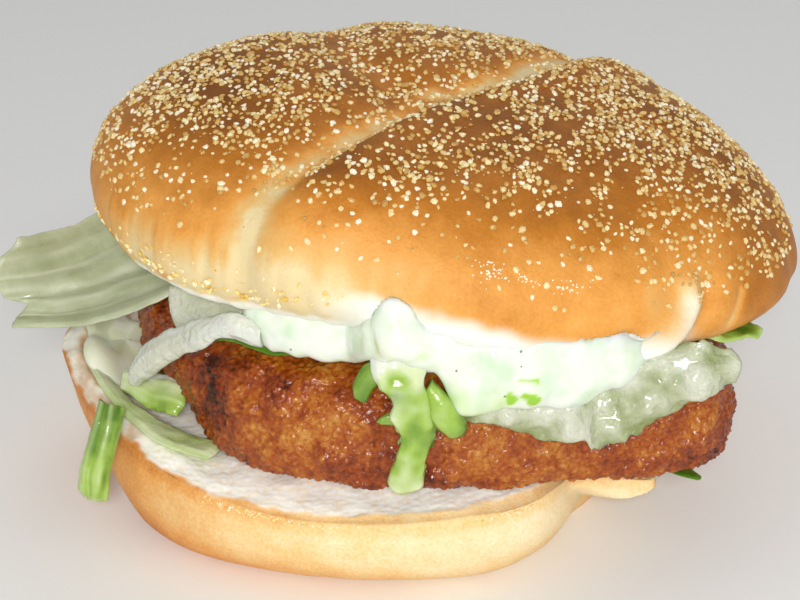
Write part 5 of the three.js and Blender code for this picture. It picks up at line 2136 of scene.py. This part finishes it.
@dataclass
class Studio:
    """A pale floor, soft lights and the camera. Sizes are in metres."""

    target: tuple[float, float, float] = (0.004, -0.006, 0.034)
    distance: float = 0.38
    elevation: float = 25.0
    lens: float = 97.2
    floor_size: float = 6.0
    floor: str = "#fafaf8"
    sky: str = "#ffffff"
    sky_strength: float = 0.38
    lamps: tuple[Lamp, ...] = (
        Lamp("key", (0.0, -0.7, 0.37), 0.14, 3.85),
        Lamp("fill", (0.6, -0.5, 0.5), 0.6, 0.6),
        Lamp("back", (0.3, 0.8, 1.0), 0.6, 1.2),
    )

    def build(self) -> None:
        """Makes the floor, the lights, the sky and the camera."""
        self.make_floor()
        for lamp in self.lamps:
            self.make_lamp(lamp)
        world = bpy.data.worlds.new("studio")
        bpy.context.scene.world = world
        world.use_nodes = True
        sky = world.node_tree.nodes["Background"]
        sky.inputs[0].default_value = linear(self.sky)
        sky.inputs[1].default_value = self.sky_strength
        bpy.context.scene.view_settings.view_transform = "Standard"
        self.make_camera()

    def make_floor(self) -> None:
        """A large square just under the heel."""
        half = self.floor_size / 2 / MM
        points = np.array([(-half, -half, 0), (half, -half, 0), (half, half, 0), (-half, half, 0)], float)
        mesh = make_mesh("floor", points, [np.array([[0, 1, 2, 3]])], {})
        recipe = Recipe("painted_board")
        height = recipe.add("TexNoise", recipe.sized(2.0, 2.0))["Fac"]
        board = recipe.finish(height, 0.02, Base_Color=linear(self.floor), Roughness=0.8)
        mesh.materials.append(board)
        floor = bpy.data.objects.new("floor", mesh)
        bpy.context.scene.collection.objects.link(floor)

    def make_lamp(self, lamp: Lamp) -> None:
        """Places one light and turns it to the sandwich.

        Args:
            lamp: Its place, size and power.
        """
        data = bpy.data.lights.new(lamp.name, "AREA")
        data.size = lamp.size
        data.energy = lamp.power
        data.color = linear(lamp.colour)[:3]
        light = bpy.data.objects.new(lamp.name, data)
        light.location = lamp.place
        aim = Vector(self.target) - Vector(lamp.place)
        light.rotation_euler = aim.to_track_quat("-Z", "Y").to_euler()
        bpy.context.scene.collection.objects.link(light)

    def make_camera(self) -> None:
        """Places the camera at the photograph's distance and height, looking at the middle."""
        data = bpy.data.cameras.new("camera")
        data.lens = self.lens
        data.clip_start = 0.01
        camera = bpy.data.objects.new("camera", data)
        tilt = math.radians(self.elevation)
        back = Vector((0, -math.cos(tilt), math.sin(tilt)))
        camera.location = Vector(self.target) + self.distance * back
        camera.rotation_euler = (-back).to_track_quat("-Z", "Y").to_euler()
        bpy.context.scene.collection.objects.link(camera)
        bpy.context.scene.camera = camera


# ---- the whole sandwich


def report(pieces: Sequence[bpy.types.Object]) -> None:
    """Logs each piece's name and its number of points."""
    for piece in pieces:
        LOG.info("%s: %d points", piece.name, len(piece.data.vertices))


def sprinkles(heel: Heel, crown: Crown) -> tuple[Sprinkle, ...]:
    """The loose meal and the droplets that lie on the roll.

    Args:
        heel: The bottom bun.
        crown: The top bun.

    Returns:
        One sprinkle for each kind and place.
    """
    heel_patches = (
        (-117, 5, 0.96, 0.015), (-106, 4, 0.97, 0.012), (-92, 7, 0.975, 0.01), (-84, 5, 0.975, 0.01),
        (-66, 6, 0.97, 0.012),
    )
    rim_patches = (
        (-163, 5, 0.8, 0.05), (-153, 4, 0.78, 0.05), (-146, 3, 0.76, 0.06), (-138, 3, 0.72, 0.06),
        (-131, 3, 0.7, 0.06), (-122, 4, 0.66, 0.06),
    )
    fold_patches = ((-140, 10, 0.94, 0.1), (-124, 10, 0.9, 0.1), (-112, 8, 0.88, 0.1))
    wet_glint_patches = (
        (-84, 2.2, 0.926, 0.009), (-83.6, 1.8, 0.94, 0.01), (-78.5, 1.6, 0.94, 0.004),
        (-72.3, 3.2, 0.947, 0.005),
    )
    yellow = Cornmeal(name="yellow_cornmeal", colours=YELLOW_MEAL)
    return (
        Sprinkle(
            "cornmeal_on_heel", Slot.HEEL, heel.wall, heel_patches,
            count=420, seed=9, radius=(0.12, 0.34), finish=yellow,
        ),
        Sprinkle(
            "cornmeal_on_rim", Slot.CROWN, crown.lower_rim, rim_patches,
            count=80, seed=11, radius=(0.42, 0.72), finish=yellow,
        ),
        Sprinkle(
            "cornmeal_on_folds", Slot.CROWN, crown.lower_rim, fold_patches,
            count=60, seed=12, radius=(0.25, 0.5), finish=yellow,
        ),
        # Pale beads on the wet crust: droplets, whose pale colour also paints its glints.
        Sprinkle(
            "wet_beads_and_glints", Slot.CROWN, crown.top_skin, wet_glint_patches,
            count=90, seed=13, radius=(0.14, 0.3), finish=OilBeadsAndGlints(),
        ),
    )


def main() -> None:
    """Builds the sandwich from the heel up, then the studio round it."""
    logging.basicConfig(level=logging.INFO, format="%(message)s")
    heel = Heel()
    fish = Fish()
    crown = Crown()
    roll_and_filling = (heel, fish, Sauce(fish, crown), Puddle(heel), crown, Dusting(crown))
    for maker in (*roll_and_filling, *sprinkles(heel, crown)):
        report(maker.build())
    for leaf in LEAVES:
        report(leaf.build(heel))
    Studio().build()


if __name__ == "__main__":
    main()
